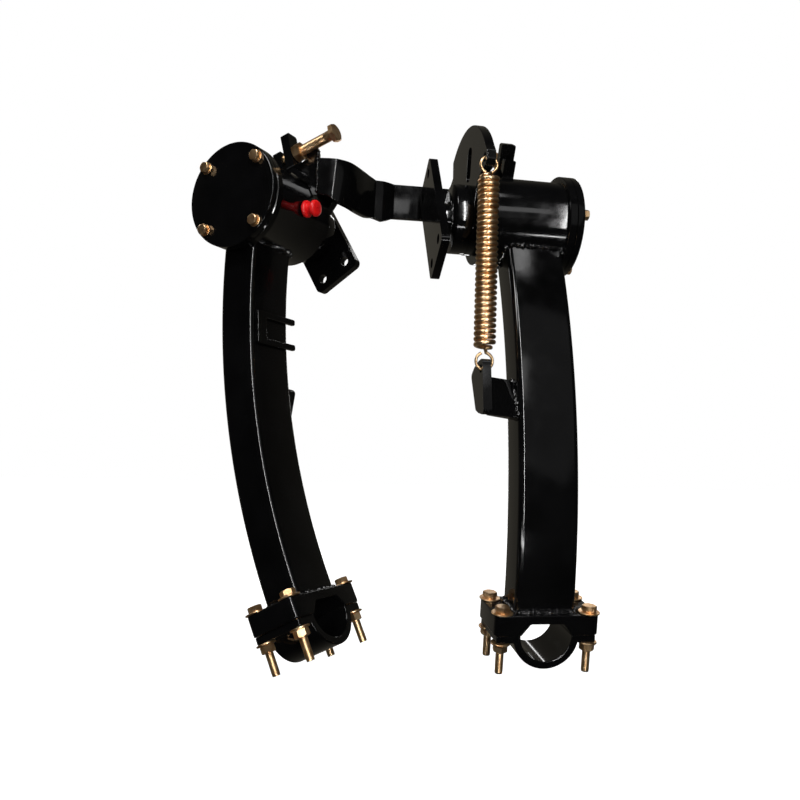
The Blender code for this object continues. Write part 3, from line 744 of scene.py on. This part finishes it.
def bolt_mesh(name, radius, pitch, flats, head, washer, washer_thick, spring_washer, plain, reach):
    """A hexagon bolt with a spring washer, a plain unbroken ring here, over a flat one; it is threaded beyond
    its plain shank.
    """
    seat = -washer_thick - spring_washer
    shank, core, tip = radius + 0.05, radius - THREAD_DEPTH * pitch, radius - 1.3 * THREAD_DEPTH * pitch
    runout = 0.8
    body = loft(name, head_rings(seat - head, seat, flats)
                + [round_ring(seat, shank), round_ring(plain, shank), round_ring(plain + runout, core),
                   round_ring(reach - runout, core), round_ring(reach, tip)])
    flat = loft(name, washer_rings(-washer_thick, 0.0, washer))
    bore, rim = radius + 0.3, flats * SPRING_WASHER_RIM
    split = turned(name, [(seat, bore), (seat, rim), (-washer_thick, rim), (-washer_thick, bore)],
                   ROUND_SIDES, closed=True)
    ridges = thread(name, radius, pitch, plain + 0.6, reach)
    return merged(name, [body, flat, split, ridges])


CAP_BOLT = bolt_mesh("cap_bolt", radius=3.9, pitch=1.25, flats=12.5, head=5.2, washer=7.8,
                     washer_thick=1.3, spring_washer=0.8, plain=5.0, reach=17.0)
CLAMP_BOLT = bolt_mesh("clamp_bolt", radius=4.9, pitch=1.5, flats=CLAMP_FLATS, head=6.4, washer=13.0,
                       washer_thick=1.6, spring_washer=0.9, plain=40.0, reach=72.7)


def nut_mesh(name, low, high, flats, bore):
    """A nut chamfered on both faces, its bore opened a little at each end."""
    mouth, deep, rim = bore + 0.5, 0.6, flats * HEAD_RIM
    return loft(name, [round_ring(low, mouth), round_ring(low, rim), hex_ring(low, flats, 1.0),
                       hex_ring(high, flats, -1.0), round_ring(high, rim), round_ring(high, mouth),
                       round_ring(high - deep, bore), round_ring(low + deep, bore)], closed=True)


def cap_bolts(side):
    first, further = CAP_BOLT_TWIST
    for quarter in range(4):
        at = polar(CAP_BOLT_CIRCLE, CAP_CLOCK[side] + 90 * quarter)
        twist = about_x(further * quarter + first)
        made = piece(f"v_{side}_cap_bolt_{quarter + 1}", CAP_BOLT.copy(),
                     SWING[side] @ shift(-GAP, *at) @ twist, "yellow_zinc")
        settle(made, f"{side}_swing_arm", f"{side}_cap_bolt_{quarter + 1}")


def end_cap(side):
    radius, rim = CAP_RADIUS, CAP_RIM
    profile = [(0.0, radius - rim), (0.12 * rim, radius - 0.5 * rim), (0.5 * rim, radius - 0.12 * rim),
               (rim, radius), (CAP_THICK - 0.6, radius), (CAP_THICK - 0.1, radius - 0.5)]
    made = piece(f"v_{side}_end_cap", turned("end_cap", profile, TURNED_SIDES), SWING[side], "black_paint")
    settle(made, f"{side}_swing_arm", f"{side}_end_cap")


def housing(side):
    """The barrel with its collar, filleted at the root, and the pad that the stop bolt meets."""
    lip, radius, fillet = HOUSING_LIP, HOUSING_RADIUS, 1.6
    near, far = COLLAR_X
    collar = [(near, NUT_POCKET_RADIUS), (near, CAP_RADIUS - lip), (near + lip, CAP_RADIUS),
              (far - lip, CAP_RADIUS), (far, CAP_RADIUS - lip)]
    barrel = [(far, radius + fillet), (far + 0.5, radius + 0.5), (far + fillet, radius),
              (HOUSING_END - lip, radius), (HOUSING_END, radius - lip)]
    bore = [(HOUSING_END, BORE_RADIUS), (NUT_POCKET_END, BORE_RADIUS), (NUT_POCKET_END, NUT_POCKET_RADIUS)]
    shell = turned("housing", collar + barrel + bore, TURNED_SIDES, closed=True)
    face = -STOP_BOLT_REACH - GAP
    pad = plate_x("pad", rounded(rectangle(*PAD_HALF, (0.0, -PAD_DROP)), PAD_CORNER), face - PAD_THICK, face)
    to_pad = about_x(SWING_ANGLE[side]) @ stop_frame(side)
    made = piece(f"v_{side}_housing", shell, SWING[side], "black_paint", joins=[(pad, to_pad)])
    settle(made, f"{side}_swing_arm", f"{side}_housing")


def arm_point(across, out, turn):
    """A point of the arm, across it and out from its centre line, at an angle on its arc."""
    reach = ARM_RADIUS + out
    return (ARM_X + across, ARM_CENTRE.x + reach * math.cos(turn), ARM_CENTRE.y + reach * math.sin(turn))


def barrel_turn(out):
    """Where a line at this depth along the arm's arc meets the barrel."""
    low, high = arm_angle((0.0, -80.0)), arm_angle((0.0, -20.0))
    for _ in range(30):
        middle = (low + high) / 2
        _, y, z = arm_point(0.0, out, middle)
        if math.hypot(y, z) > HOUSING_RADIUS:
            low = middle
        else:
            high = middle
    return low


def arm(side):
    """The bent tube from the barrel to the clamp block, with a weld run at each end."""
    half_width, half_depth = ARM_SIZE[0] / 2, ARM_SIZE[1] / 2
    outer = rounded(rectangle(half_width, half_depth), ARM_CORNER, 8)
    stop = arm_angle(ARM_FOOT) + GAP / ARM_RADIUS
    rings = []
    for step in range(ARM_STEPS + 1):
        share = step / ARM_STEPS
        ring = []
        for across, out in outer:
            start = barrel_turn(out) - ARM_SUNK / ARM_RADIUS
            ring.append(arm_point(across, out, start + (stop - start) * share))
        rings.append(ring)
    made = piece(f"v_{side}_arm", loft("arm", rings, sharp=50.0), SWING[side], "black_paint")
    settle(made, f"{side}_swing_arm", f"{side}_arm")
    proud = 1.012
    top = [arm_point(across * proud, out * proud, barrel_turn(out)) for across, out in outer]
    weld_bead(f"v_{side}_arm_weld_top", top, ARM_TOP_WELD, SWING[side], f"{side}_swing_arm", closed=True)
    beside, corner, lift = 1.2, 8.0, 0.4
    around = rounded(rectangle(half_width + beside, half_depth + beside), corner)
    foot = [(across, out, lift) for across, out in around]
    weld_bead(f"v_{side}_arm_weld_foot", foot, ARM_FOOT_WELD, CLAMP[side], f"{side}_swing_arm", closed=True)


def spring_lug(side):
    """A tab for the spring's hook, held off the arm's side by a slanting web."""
    hook = Vector(LUG_HOOK[side])
    tab = rounded([tuple(hook + Vector(point)) for point in LUG_TAB], LUG_CORNER, 5)
    inboard = ARM_X + ARM_SIZE[0] / 2
    at_arm = [(inboard + GAP, y, hook.y + z) for y, z in WEB_AT_ARM]
    at_tab = [(LUG_TAB_X[0] + WEB_IN_TAB, hook.x + y, hook.y + z) for y, z in WEB_AT_TAB]
    down = turned_by(spring_line(side)[0], -SWING_ANGLE[side])
    at = hook + down * HOOK_BITE
    made = piece(f"v_{side}_spring_lug", plate_x("tab", tab, *LUG_TAB_X), SWING[side], "black_paint",
                 TAB_BEVEL, joins=[(loft("web", [at_arm, at_tab]), Matrix())],
                 cuts=[(hole(HOOK_HOLE, *past(LUG_TAB_X)), shift(0, *at))])
    settle(made, f"{side}_swing_arm", f"{side}_spring_lug")
    back_top, front_top, front_low, back_low = WEB_AT_ARM
    steps, off_arm = 8, 0.8
    for number, (low, top) in enumerate(((front_low, front_top), (back_low, back_top)), 1):
        path = [(inboard + off_arm, low[0] + (top[0] - low[0]) * k / steps,
                 hook.y + low[1] + (top[1] - low[1]) * k / steps) for k in range(steps + 1)]
        weld_bead(f"v_{side}_lug_weld_{number}", path, LUG_WELD, SWING[side], f"{side}_swing_arm")


def clamp(side):
    """The notched block under the arm, the saddle below it, and their bolts."""
    body = f"{side}_swing_arm"
    wide, narrow, below = SEAT_HALF_WIDTH, NOTCH_HALF_TOP, -BLOCK_THICK - 5.0
    notch = [(-wide, below), (wide, below), (wide, -BLOCK_THICK), (narrow, NOTCH_TOP),
             (-narrow, NOTCH_TOP), (-wide, -BLOCK_THICK)]
    slab = plate_z("block", rounded(rectangle(*BLOCK_HALF), BLOCK_CORNER), -BLOCK_THICK, 0.0)
    cutter = plate_y("notch", notch, *past((-BLOCK_HALF[1], BLOCK_HALF[1])))
    block = piece(f"v_{side}_clamp_block", slab, CLAMP[side], "black_paint", BLOCK_BEVEL,
                  cuts=[(cutter, Matrix())])
    settle(block, body, f"{side}_clamp_block")
    split = -BLOCK_THICK - GAP
    under = split - CAP_FLANGE
    dip = math.degrees(math.acos(CAP_FLANGE / TROUGH_RADIUS))
    trough = arc(TROUGH_RADIUS, 180 - dip, 180 + dip, TROUGH_STEPS, (0.0, split))
    seat = arc(SEAT_HALF_WIDTH, 270.0, 90.0, TROUGH_STEPS, (0.0, split))
    half_width, half_length = CAP_HALF
    profile = [(half_width, split), (half_width, under), *trough, (-half_width, under), (-half_width, split),
               *seat]
    saddle = piece(f"v_{side}_clamp_cap", plate_y("saddle", profile, -half_length, half_length), CLAMP[side],
                   "black_paint", CAP_BEVEL)
    settle(saddle, body, f"{side}_clamp_cap")
    clamp_fasteners(side, body)


def clamp_fasteners(side, body):
    across, along = CLAMP_BOLT_AT
    top = BLOCK_THICK + CAP_FLANGE + 2 * GAP
    (bore, rim), foot, edge = CLAMP_WASHER, top + CLAMP_WASHER_THICK, 0.4
    washer = turned("washer", [(top, bore), (top, rim - edge), (top + edge, rim), (foot - edge, rim),
                               (foot, rim - edge), (foot, bore)], ROUND_SIDES, closed=True)
    low, high = CLAMP_NUT
    nut = merged("clamp_nut", [washer, nut_mesh("nut", top + low, top + high, CLAMP_FLATS, 5.0)])
    corners = [(across, along), (-across, along), (-across, -along), (across, -along)]
    for number, (x, y) in enumerate(corners, 1):
        twist = about_x(CLAMP_BOLT_TWIST * number)
        bolt = piece(f"v_{side}_clamp_bolt_{number}", CLAMP_BOLT.copy(),
                     CLAMP[side] @ shift(x, y, GAP) @ DOWN @ twist, "yellow_zinc")
        settle(bolt, body, f"{side}_clamp_bolt_{number}")
        under = piece(f"v_{side}_clamp_nut_{number}", nut.copy(), CLAMP[side] @ shift(x, y) @ DOWN @ twist,
                      "yellow_zinc")
        settle(under, body, f"{side}_clamp_nut_{number}")


def shaft(side):
    """The pivot shaft and boss, with weld runs at the sector plate and the flange."""
    lip, radius, fillet = BOSS_LIP, SHAFT_RADIUS, 2.0
    near, far = BOSS_X
    profile = [(SHAFT_START, radius - lip), (SHAFT_START + lip, radius), (near, radius), (near, BOSS_RADIUS),
               (far - lip, BOSS_RADIUS), (far - 0.4, BOSS_RADIUS - 0.5), (far, BOSS_RADIUS - lip),
               (far, radius + fillet), (far + 0.7, radius + 0.6), (far + fillet, radius),
               (FLANGE_X[0] - GAP, radius)]
    made = piece(f"v_{side}_shaft", turned("shaft", profile), FIXED[side], "black_paint")
    settle(made, "frame", f"{side}_shaft")
    for name, x, reach in (("flange", FLANGE_X[0] - 1.0, radius + 0.6), ("boss", far + 0.6, radius + 0.8)):
        path = [(x, *polar(reach, 10.0 * k)) for k in range(36)]
        weld_bead(f"v_{side}_{name}_weld", path, SHAFT_WELD, FIXED[side], "frame", closed=True)


def flange(side):
    """The mounting plate with its four holes."""
    outline = rounded(rectangle(FLANGE_SIZE[0] / 2, FLANGE_SIZE[1] / 2), FLANGE_CORNER)
    cuts = []
    for across in (-1, 1):
        for up in (-1, 1):
            at = shift(0, across * FLANGE_HOLES_AT[0], up * FLANGE_HOLES_AT[1])
            cuts.append((hole(FLANGE_HOLE, *past(FLANGE_X)), at))
    made = piece(f"v_{side}_flange", plate_x("flange", outline, *FLANGE_X),
                 FIXED[side] @ about_x(FLANGE_CLOCK[side]), "black_paint", PLATE_BEVEL, cuts=cuts)
    settle(made, "frame", f"{side}_flange")


def right_sector_outline():
    """A tall dome, the spring's ear, round under the boss, and a straight edge at the other side."""
    dome = arc(SECTOR_RADIUS, *DOME_ARC, 48, DOME_CENTRE)
    return dome + RIGHT_EAR + arc(BOSS_RADIUS + 1, 80.0, 270.0, 40) + RIGHT_FOOT


def left_sector_outline():
    """A disc with a low lobe at the stop's side and a long ear for the spring."""
    lobe = arc(LEFT_DISC_RADIUS + LEFT_LOBE, -68.0, -5.0, 24)
    ear = arc(SECTOR_RADIUS - LEFT_EAR_INSET, 48.0, 68.0, 10) + LEFT_EAR
    return lobe + arc(LEFT_DISC_RADIUS, 8.0, 34.0, 9) + ear + arc(LEFT_DISC_RADIUS, 95.0, 278.0, 48)


def sector_plate(side):
    """The plate beside the barrel, bored for the shaft and the spring's hook."""
    outline = right_sector_outline() if side == "right" else left_sector_outline()
    at = Vector(EARS[side]) - spring_line(side)[0] * HOOK_BITE
    cuts = [(hole(HOOK_HOLE, *past(SECTOR_X)), shift(0, *at)),
            (hole(SHAFT_RADIUS + GAP, *past(SECTOR_X)), Matrix())]
    if side == "right":
        top, foot = SECTOR_SLOT
        slot = arc(SECTOR_SLOT_HALF, -90.0, 90.0, 20, top) + arc(SECTOR_SLOT_HALF, 90.0, 270.0, 20, foot)
        cuts.append((plate_x("slot", slot, *past(SECTOR_X)), Matrix()))
    made = piece(f"v_{side}_sector_plate", plate_x("sector", outline, *SECTOR_X), FIXED[side], "black_paint",
                 PLATE_BEVEL, cuts=cuts)
    settle(made, "frame", f"{side}_sector_plate")


def stop_bracket(side):
    """The bridge over the barrel and its lug for the stop bolt; the left one has a gusset for the strap."""
    inner, outer = STOP_BRIDGE
    first, last = STOP_BRIDGE_ARC
    saddle = arc(outer, first, last, 20) + arc(inner, last, first, 20)
    to_lug = about_x(-STOP_CLOCK[side]) @ stop_frame(side)
    joins = [(plate_x("lug", rounded(STOP_LUG, STOP_LUG_CORNER, 5), -STOP_LUG_THICK, 0.0), to_lug)]
    cuts = [(hole(STOP_BOLT_RADIUS + GAP, -20.0, 5.0), to_lug)]
    if side == "left":
        cuts.append((hole(LOCK_NUT_ROOM, GAP / 2, LOCK_NUT_END + GAP), to_lug))
        gusset = arc(inner, *GUSSET_ARC, 30) + GUSSET_EDGE
        joins.append((plate_x("gusset", gusset, *GUSSET_X), Matrix()))
    made = piece(f"v_{side}_stop_bracket", plate_x("bracket", saddle, *STOP_BRIDGE_X),
                 FIXED[side] @ about_x(STOP_CLOCK[side]), "black_paint", STOP_BEVEL, joins=joins, cuts=cuts)
    settle(made, "frame", f"{side}_stop_bracket")
    if side == "left":
        y, low, height, steps = -63.2, 23.0, 60.0, 14
        path = [(GUSSET_X[0] - GAP, y, low + height * k / steps) for k in range(steps + 1)]
        weld_bead("v_strap_weld_left", path, STRAP_WELD, FIXED[side], "frame")


def stop_bolt(side):
    """The long stop bolt, its head outwards, and the nut that locks it."""
    at = FIXED[side] @ stop_frame(side)
    nut = piece(f"v_{side}_lock_nut",
                nut_mesh("lock_nut", GAP, LOCK_NUT_END, STOP_FLATS, STOP_BOLT_RADIUS + 0.1),
                at @ about_x(LOCK_NUT_TWIST), "yellow_zinc")
    settle(nut, "frame", f"{side}_lock_nut")
    under, end = STOP_HEAD
    head = head_rings(-end, -under, STOP_FLATS)
    radius = STOP_BOLT_RADIUS - 0.05
    core = radius - THREAD_DEPTH * STOP_PITCH
    shank = [round_ring(-under, radius), round_ring(STOP_PLAIN - under, radius),
             round_ring(STOP_PLAIN + 1.0 - under, core), round_ring(STOP_BOLT_REACH - 1.0, core),
             round_ring(STOP_BOLT_REACH, core - 0.7)]
    ridges = thread("ridges", radius, STOP_PITCH, STOP_PLAIN + 0.5 - under, STOP_BOLT_REACH)
    body = merged("stop_bolt", [loft("stop_bolt", head + shank), ridges])
    flip = Matrix.Rotation(math.pi, 4, "Z")
    bolt = piece(f"v_{side}_stop_bolt", body, at @ flip @ about_x(STOP_TWIST), "yellow_zinc")
    settle(bolt, f"{side}_stop_bolt", f"{side}_stop_bolt")


def grease_frame(side):
    """X outwards from the pivot, through the nipple and its cap."""
    return SWING[side] @ shift(GREASE_X) @ about_x(GREASE_ANGLE) @ OUTWARD


def grease_point(side):
    """The nipple, a stem, a hexagon and a ball end, and the red cap: two rims and a waist round a hollow."""
    seat = HOUSING_RADIUS + GAP
    at = grease_frame(side)
    stem = [round_ring(NIPPLE_ROOT, 3.0), round_ring(seat, 3.0), hex_ring(seat, NIPPLE_FLATS),
            hex_ring(seat + 5, NIPPLE_FLATS, -1.0)]
    ball = [round_ring(seat + out, radius) for out, radius in
            ((5, 4.2), (6, 2.6), (9, 2.4), (10.5, 3.1), (12.2, 2.9), (13, 1.6))]
    nipple = piece(f"v_{side}_grease_nipple", loft("nipple", stem + ball), at, "yellow_zinc")
    settle(nipple, f"{side}_swing_arm", f"{side}_grease_nipple")
    low, high, radius = seat + 1.0, seat + 20.0, GREASE_CAP_RADIUS
    waist = radius - 3.4
    lower_rim = [(low, waist - 0.6), (low, radius - 0.9), (low + 0.8, radius), (low + 3.4, radius),
                 (low + 4.4, radius - 0.8), (low + 5.6, waist + 0.3), (low + 7.0, waist)]
    upper_rim = [(high - 8.6, waist), (high - 7.2, waist + 0.5), (high - 5.8, radius - 1.2),
                 (high - 4.8, radius - 0.4), (high - 2.4, radius - 0.4), (high - 0.8, radius - 1.4),
                 (high, radius - 3.2)]
    dimple = [(high, 1.2), (high - 1.4, 0.6), (high - 3.5, 0.6), (high - 3.5, waist - 0.6)]
    cup = lower_rim + upper_rim + dimple
    cap = piece(f"v_{side}_grease_cap", turned("grease_cap", cup, 64, closed=True), at, "red_plastic")
    settle(cap, f"{side}_grease_cap", f"{side}_grease_cap")


def spring(side):
    """The close coil and its two round hooks, as one wire drawn thinner at the hooks."""
    down, length = spring_line(side)
    top, bottom = COIL_ENDS[0], length - COIL_ENDS[1]
    turns = round((bottom - top) / COIL_PITCH)
    lead, steps = HOOK_STEPS, turns * COIL_STEPS
    wire = []
    for k in range(lead):
        turn = -math.pi / 2 + 2 * math.pi * HOOK_TURN * (k / lead - 1)
        wire.append(Vector((HOOK_RADIUS * math.cos(turn), 0.0, HOOK_RADIUS * math.sin(turn))))
    for k in range(steps + 1):
        turn = 2 * math.pi * k / COIL_STEPS
        grow = min(1.0, (k + TAPER_START) / TAPER_STEPS, (steps - k + TAPER_START) / TAPER_STEPS)
        wire.append(Vector((COIL_RADIUS * grow * math.sin(turn), -COIL_RADIUS * grow * math.cos(turn),
                            -(top + (bottom - top) * k / steps))))
    for k in range(1, lead + 1):
        turn = math.pi / 2 + 2 * math.pi * HOOK_TURN * k / lead
        wire.append(Vector((HOOK_RADIUS * math.cos(turn), 0.0, -length + HOOK_RADIUS * math.sin(turn))))
    rings = []
    last = len(wire) - 1
    for i, centre in enumerate(wire):
        along = (wire[min(i + 1, last)] - wire[max(i - 1, 0)]).normalized()
        in_hook = i < lead or i > lead + steps
        guide = Vector((0.0, 1.0, 0.0)) if in_hook and abs(along.y) < 0.9 else Vector((0.0, 0.0, 1.0))
        side_on = along.cross(guide).normalized()
        up = side_on.cross(along)
        into, left = i - lead + TAPER_START, lead + steps - i + TAPER_START
        share = max(0.0, min(1.0, into / TAPER_STEPS, left / TAPER_STEPS))
        thick = HOOK_WIRE + (WIRE_RADIUS - HOOK_WIRE) * share
        rings.append([centre + (side_on * math.cos(b) + up * math.sin(b)) * thick
                      for b in (2 * math.pi * j / WIRE_SIDES for j in range(WIRE_SIDES))])
    across = Vector((1.0, 0.0, 0.0))
    run = Vector((0.0, down.x, down.y))
    turn = Matrix((across, run.cross(across), -run)).transposed().to_4x4()
    at = FIXED[side] @ shift(SPRING_X, *EARS[side]) @ turn
    coil = piece(f"v_{side}_spring", loft("spring", rings, sharp=SOFT_ANGLE), at, "zinc_spring")
    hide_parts(f"{side}_spring")
    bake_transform(coil)


def line_guide():
    """The two-pronged guide on the left arm's inner side."""
    (low, high), (back, front, tip), prong = GUIDE_Z, GUIDE_Y, GUIDE_PRONG
    outline = [(back, low), (tip, low), (tip, low + prong), (front, low + prong), (front, high - prong),
               (tip, high - prong), (tip, high), (back, high)]
    middle = (low + high) / 2
    turn = math.asin((middle - ARM_CENTRE.y) / ARM_RADIUS)
    reach = ARM_RADIUS - ARM_SIZE[1] / 2 - 4 * GAP
    flat = [(x, z - middle) for x, z in rounded(outline, GUIDE_CORNER, 4)]
    mesh = plate_y("line_guide", flat, -GUIDE_THICK, 0.0)
    place = shift(0, ARM_CENTRE.x + reach * math.cos(turn), middle)
    at = SWING["left"] @ place @ Matrix.Rotation(turn, 4, "X")
    made = piece("v_left_line_guide", mesh, at, "black_paint", TAB_BEVEL)
    settle(made, "left_swing_arm", "left_line_guide")


def smooth_run(values, between=8):
    """A Catmull-Rom curve through a list of vectors."""
    points = []
    last = len(values) - 1
    for i in range(last):
        a, b, c, d = (values[max(i - 1, 0)], values[i], values[i + 1], values[min(i + 2, last)])
        for step in range(between):
            t = step / between
            points.append(0.5 * ((2 * b) + (c - a) * t + (2 * a - 5 * b + 4 * c - d) * t * t
                                 + (3 * b - a - 3 * c + d) * t ** 3))
    return points + [values[-1]]


def creased_run(values, creases, reach=1.5, steps=5):
    """Smooth runs between the creases, each crease turned into a tight bend."""
    stops = [0, *creases, len(values) - 1]
    points = []
    for first, last in zip(stops, stops[1:]):
        run = smooth_run(values[first:last + 1])
        corner = run[0]
        if points:
            before = points.pop()
            back = points[-1]
            near = before + (back - before) * min(0.9, reach / (back - before).to_2d().length)
            far = corner + (run[1] - corner) * min(0.9, reach / (run[1] - corner).to_2d().length)
            for step in range(steps + 1):
                t = step / steps
                points.append(near * (1 - t) ** 2 + corner * 2 * t * (1 - t) + far * t * t)
            run = run[1:]
        points += run
    return points


def tie_strap():
    """The bent flat bar; its bends lean a little, as the lower edge's offset along the bar."""
    stations = [Vector((x, y, low, top)) for (x, y), low, top in zip(STRAP_PATH, STRAP_LOW, STRAP_TOP)]
    run = creased_run(stations, STRAP_CREASES)
    rings = []
    last = len(run) - 1
    for i, station in enumerate(run):
        ahead, behind = run[min(i + 1, last)], run[max(i - 1, 0)]
        along = Vector((ahead.x - behind.x, ahead.y - behind.y)).normalized()
        side = Vector((-along.y, along.x))
        lean = lean_at(station.x)
        middle, half = (station.z + station.w) / 2, (station.w - station.z) / 2
        section = rounded(rectangle(STRAP_THICK / 2, half), STRAP_CORNER, 4)
        rings.append([(station.x + side.x * s + lean * (half - up) / (2 * half), station.y + side.y * s,
                       middle + up) for s, up in section])
    made = piece("v_tie_strap", loft("tie_strap", rings, sharp=SOFT_ANGLE), Matrix(), "black_paint")
    settle(made, "frame", "tie_strap")
    x, y, low, height, steps = 47.6, 77.6, 24.0, 47.0, 12
    path = [(x, y, low + height * k / steps) for k in range(steps + 1)]
    weld_bead("v_strap_weld_right", path, STRAP_WELD, Matrix(), "frame")


def lean_at(x):
    """The lean of the strap's cross-section at a place along it."""
    for (near, _), (far, _), low, high in zip(STRAP_PATH, STRAP_PATH[1:], STRAP_LEAN, STRAP_LEAN[1:]):
        if x <= far:
            return low + (high - low) * max(0.0, x - near) / (far - near)
    return 0.0


def hidden_nodes():
    """The bushes and shaft nuts stay as the CAD has them, inside the barrels."""
    for side in SIDES:
        for node, look in (("bush", "bronze"), ("shaft_nut", "yellow_zinc")):
            mesh = frame["nodes"][f"{side}_{node}"].data
            mesh.materials.clear()
            mesh.materials.append(LOOKS[look])


# ---- stage, light and camera

def floor():
    """A plain pale floor, which the gloss paint does not mirror."""
    low = CAD_BOX[0].z - FLOOR_DROP
    mesh = bpy.data.meshes.new("floor")
    mesh.from_pydata([(x, y, low) for x, y in rectangle(FLOOR_HALF, FLOOR_HALF)], [], [(0, 1, 2, 3)])
    made = linked("floor", mesh)
    material, _, shader = shader_of("floor")
    shader.inputs["Base Color"].default_value = grey(0.8)
    shader.inputs["Roughness"].default_value = 0.9
    shader.inputs["Emission Color"].default_value = grey(1.0)
    shader.inputs["Emission Strength"].default_value = 1.0
    mesh.materials.append(material)
    made.visible_glossy = False
    made.visible_diffuse = False


def world():
    """White to look at; what the paint mirrors is a dark room, paler behind the object."""
    made = bpy.data.worlds.new("studio")
    made.use_nodes = True
    bpy.context.scene.world = made
    tree = made.node_tree
    room = tree.nodes["Background"]
    place = tree.nodes.new("ShaderNodeTexCoord")
    split = tree.nodes.new("ShaderNodeSeparateXYZ")
    shade = tree.nodes.new("ShaderNodeValToRGB")
    shade.color_ramp.elements[0].color = grey(0.006)
    shade.color_ramp.elements[1].color = (0.13, 0.12, 0.098, 1.0)
    tree.links.new(place.outputs["Generated"], split.inputs["Vector"])
    tree.links.new(split.outputs["Y"], shade.inputs["Fac"])
    tree.links.new(shade.outputs["Color"], room.inputs["Color"])
    seen = tree.nodes.new("ShaderNodeBackground")
    seen.inputs["Color"].default_value = grey(1.0)
    path = tree.nodes.new("ShaderNodeLightPath")
    mix = tree.nodes.new("ShaderNodeMixShader")
    tree.links.new(path.outputs["Is Camera Ray"], mix.inputs["Fac"])
    tree.links.new(room.outputs["Background"], mix.inputs[1])
    tree.links.new(seen.outputs["Background"], mix.inputs[2])
    tree.links.new(mix.outputs["Shader"], tree.nodes["World Output"].inputs["Surface"])


def lamp(name, at, target, size, glow):
    """A rectangular lamp whose surface has the given brightness."""
    light = bpy.data.lights.new(name, "AREA")
    light.shape = "RECTANGLE"
    light.size, light.size_y = size
    light.energy = glow * math.pi * size[0] * size[1]
    made = linked(name, light)
    made.location = at
    made.rotation_euler = (Vector(target) - Vector(at)).to_track_quat("-Z", "Z").to_euler()
    made.visible_camera = False


def camera():
    """The photograph's viewpoint, fitted to the object."""
    right, up = Vector(CAMERA_RIGHT), Vector(CAMERA_UP)
    lens = bpy.data.cameras.new("camera")
    lens.lens = CAMERA_LENS
    made = linked("camera", lens)
    turn = Matrix((right, up, right.cross(up))).transposed().to_4x4()
    made.matrix_world = Matrix.Translation(CAMERA_AT) @ turn
    bpy.context.scene.camera = made


def build():
    for side in SIDES:
        end_cap(side)
        cap_bolts(side)
        housing(side)
        arm(side)
        spring_lug(side)
        clamp(side)
        shaft(side)
        flange(side)
        sector_plate(side)
        stop_bracket(side)
        stop_bolt(side)
        grease_point(side)
        spring(side)
    line_guide()
    tie_strap()
    hidden_nodes()


build()
bpy.context.scene.view_settings.view_transform = "Standard"
camera()
world()
floor()
for settings in LAMPS:
    lamp(*settings)
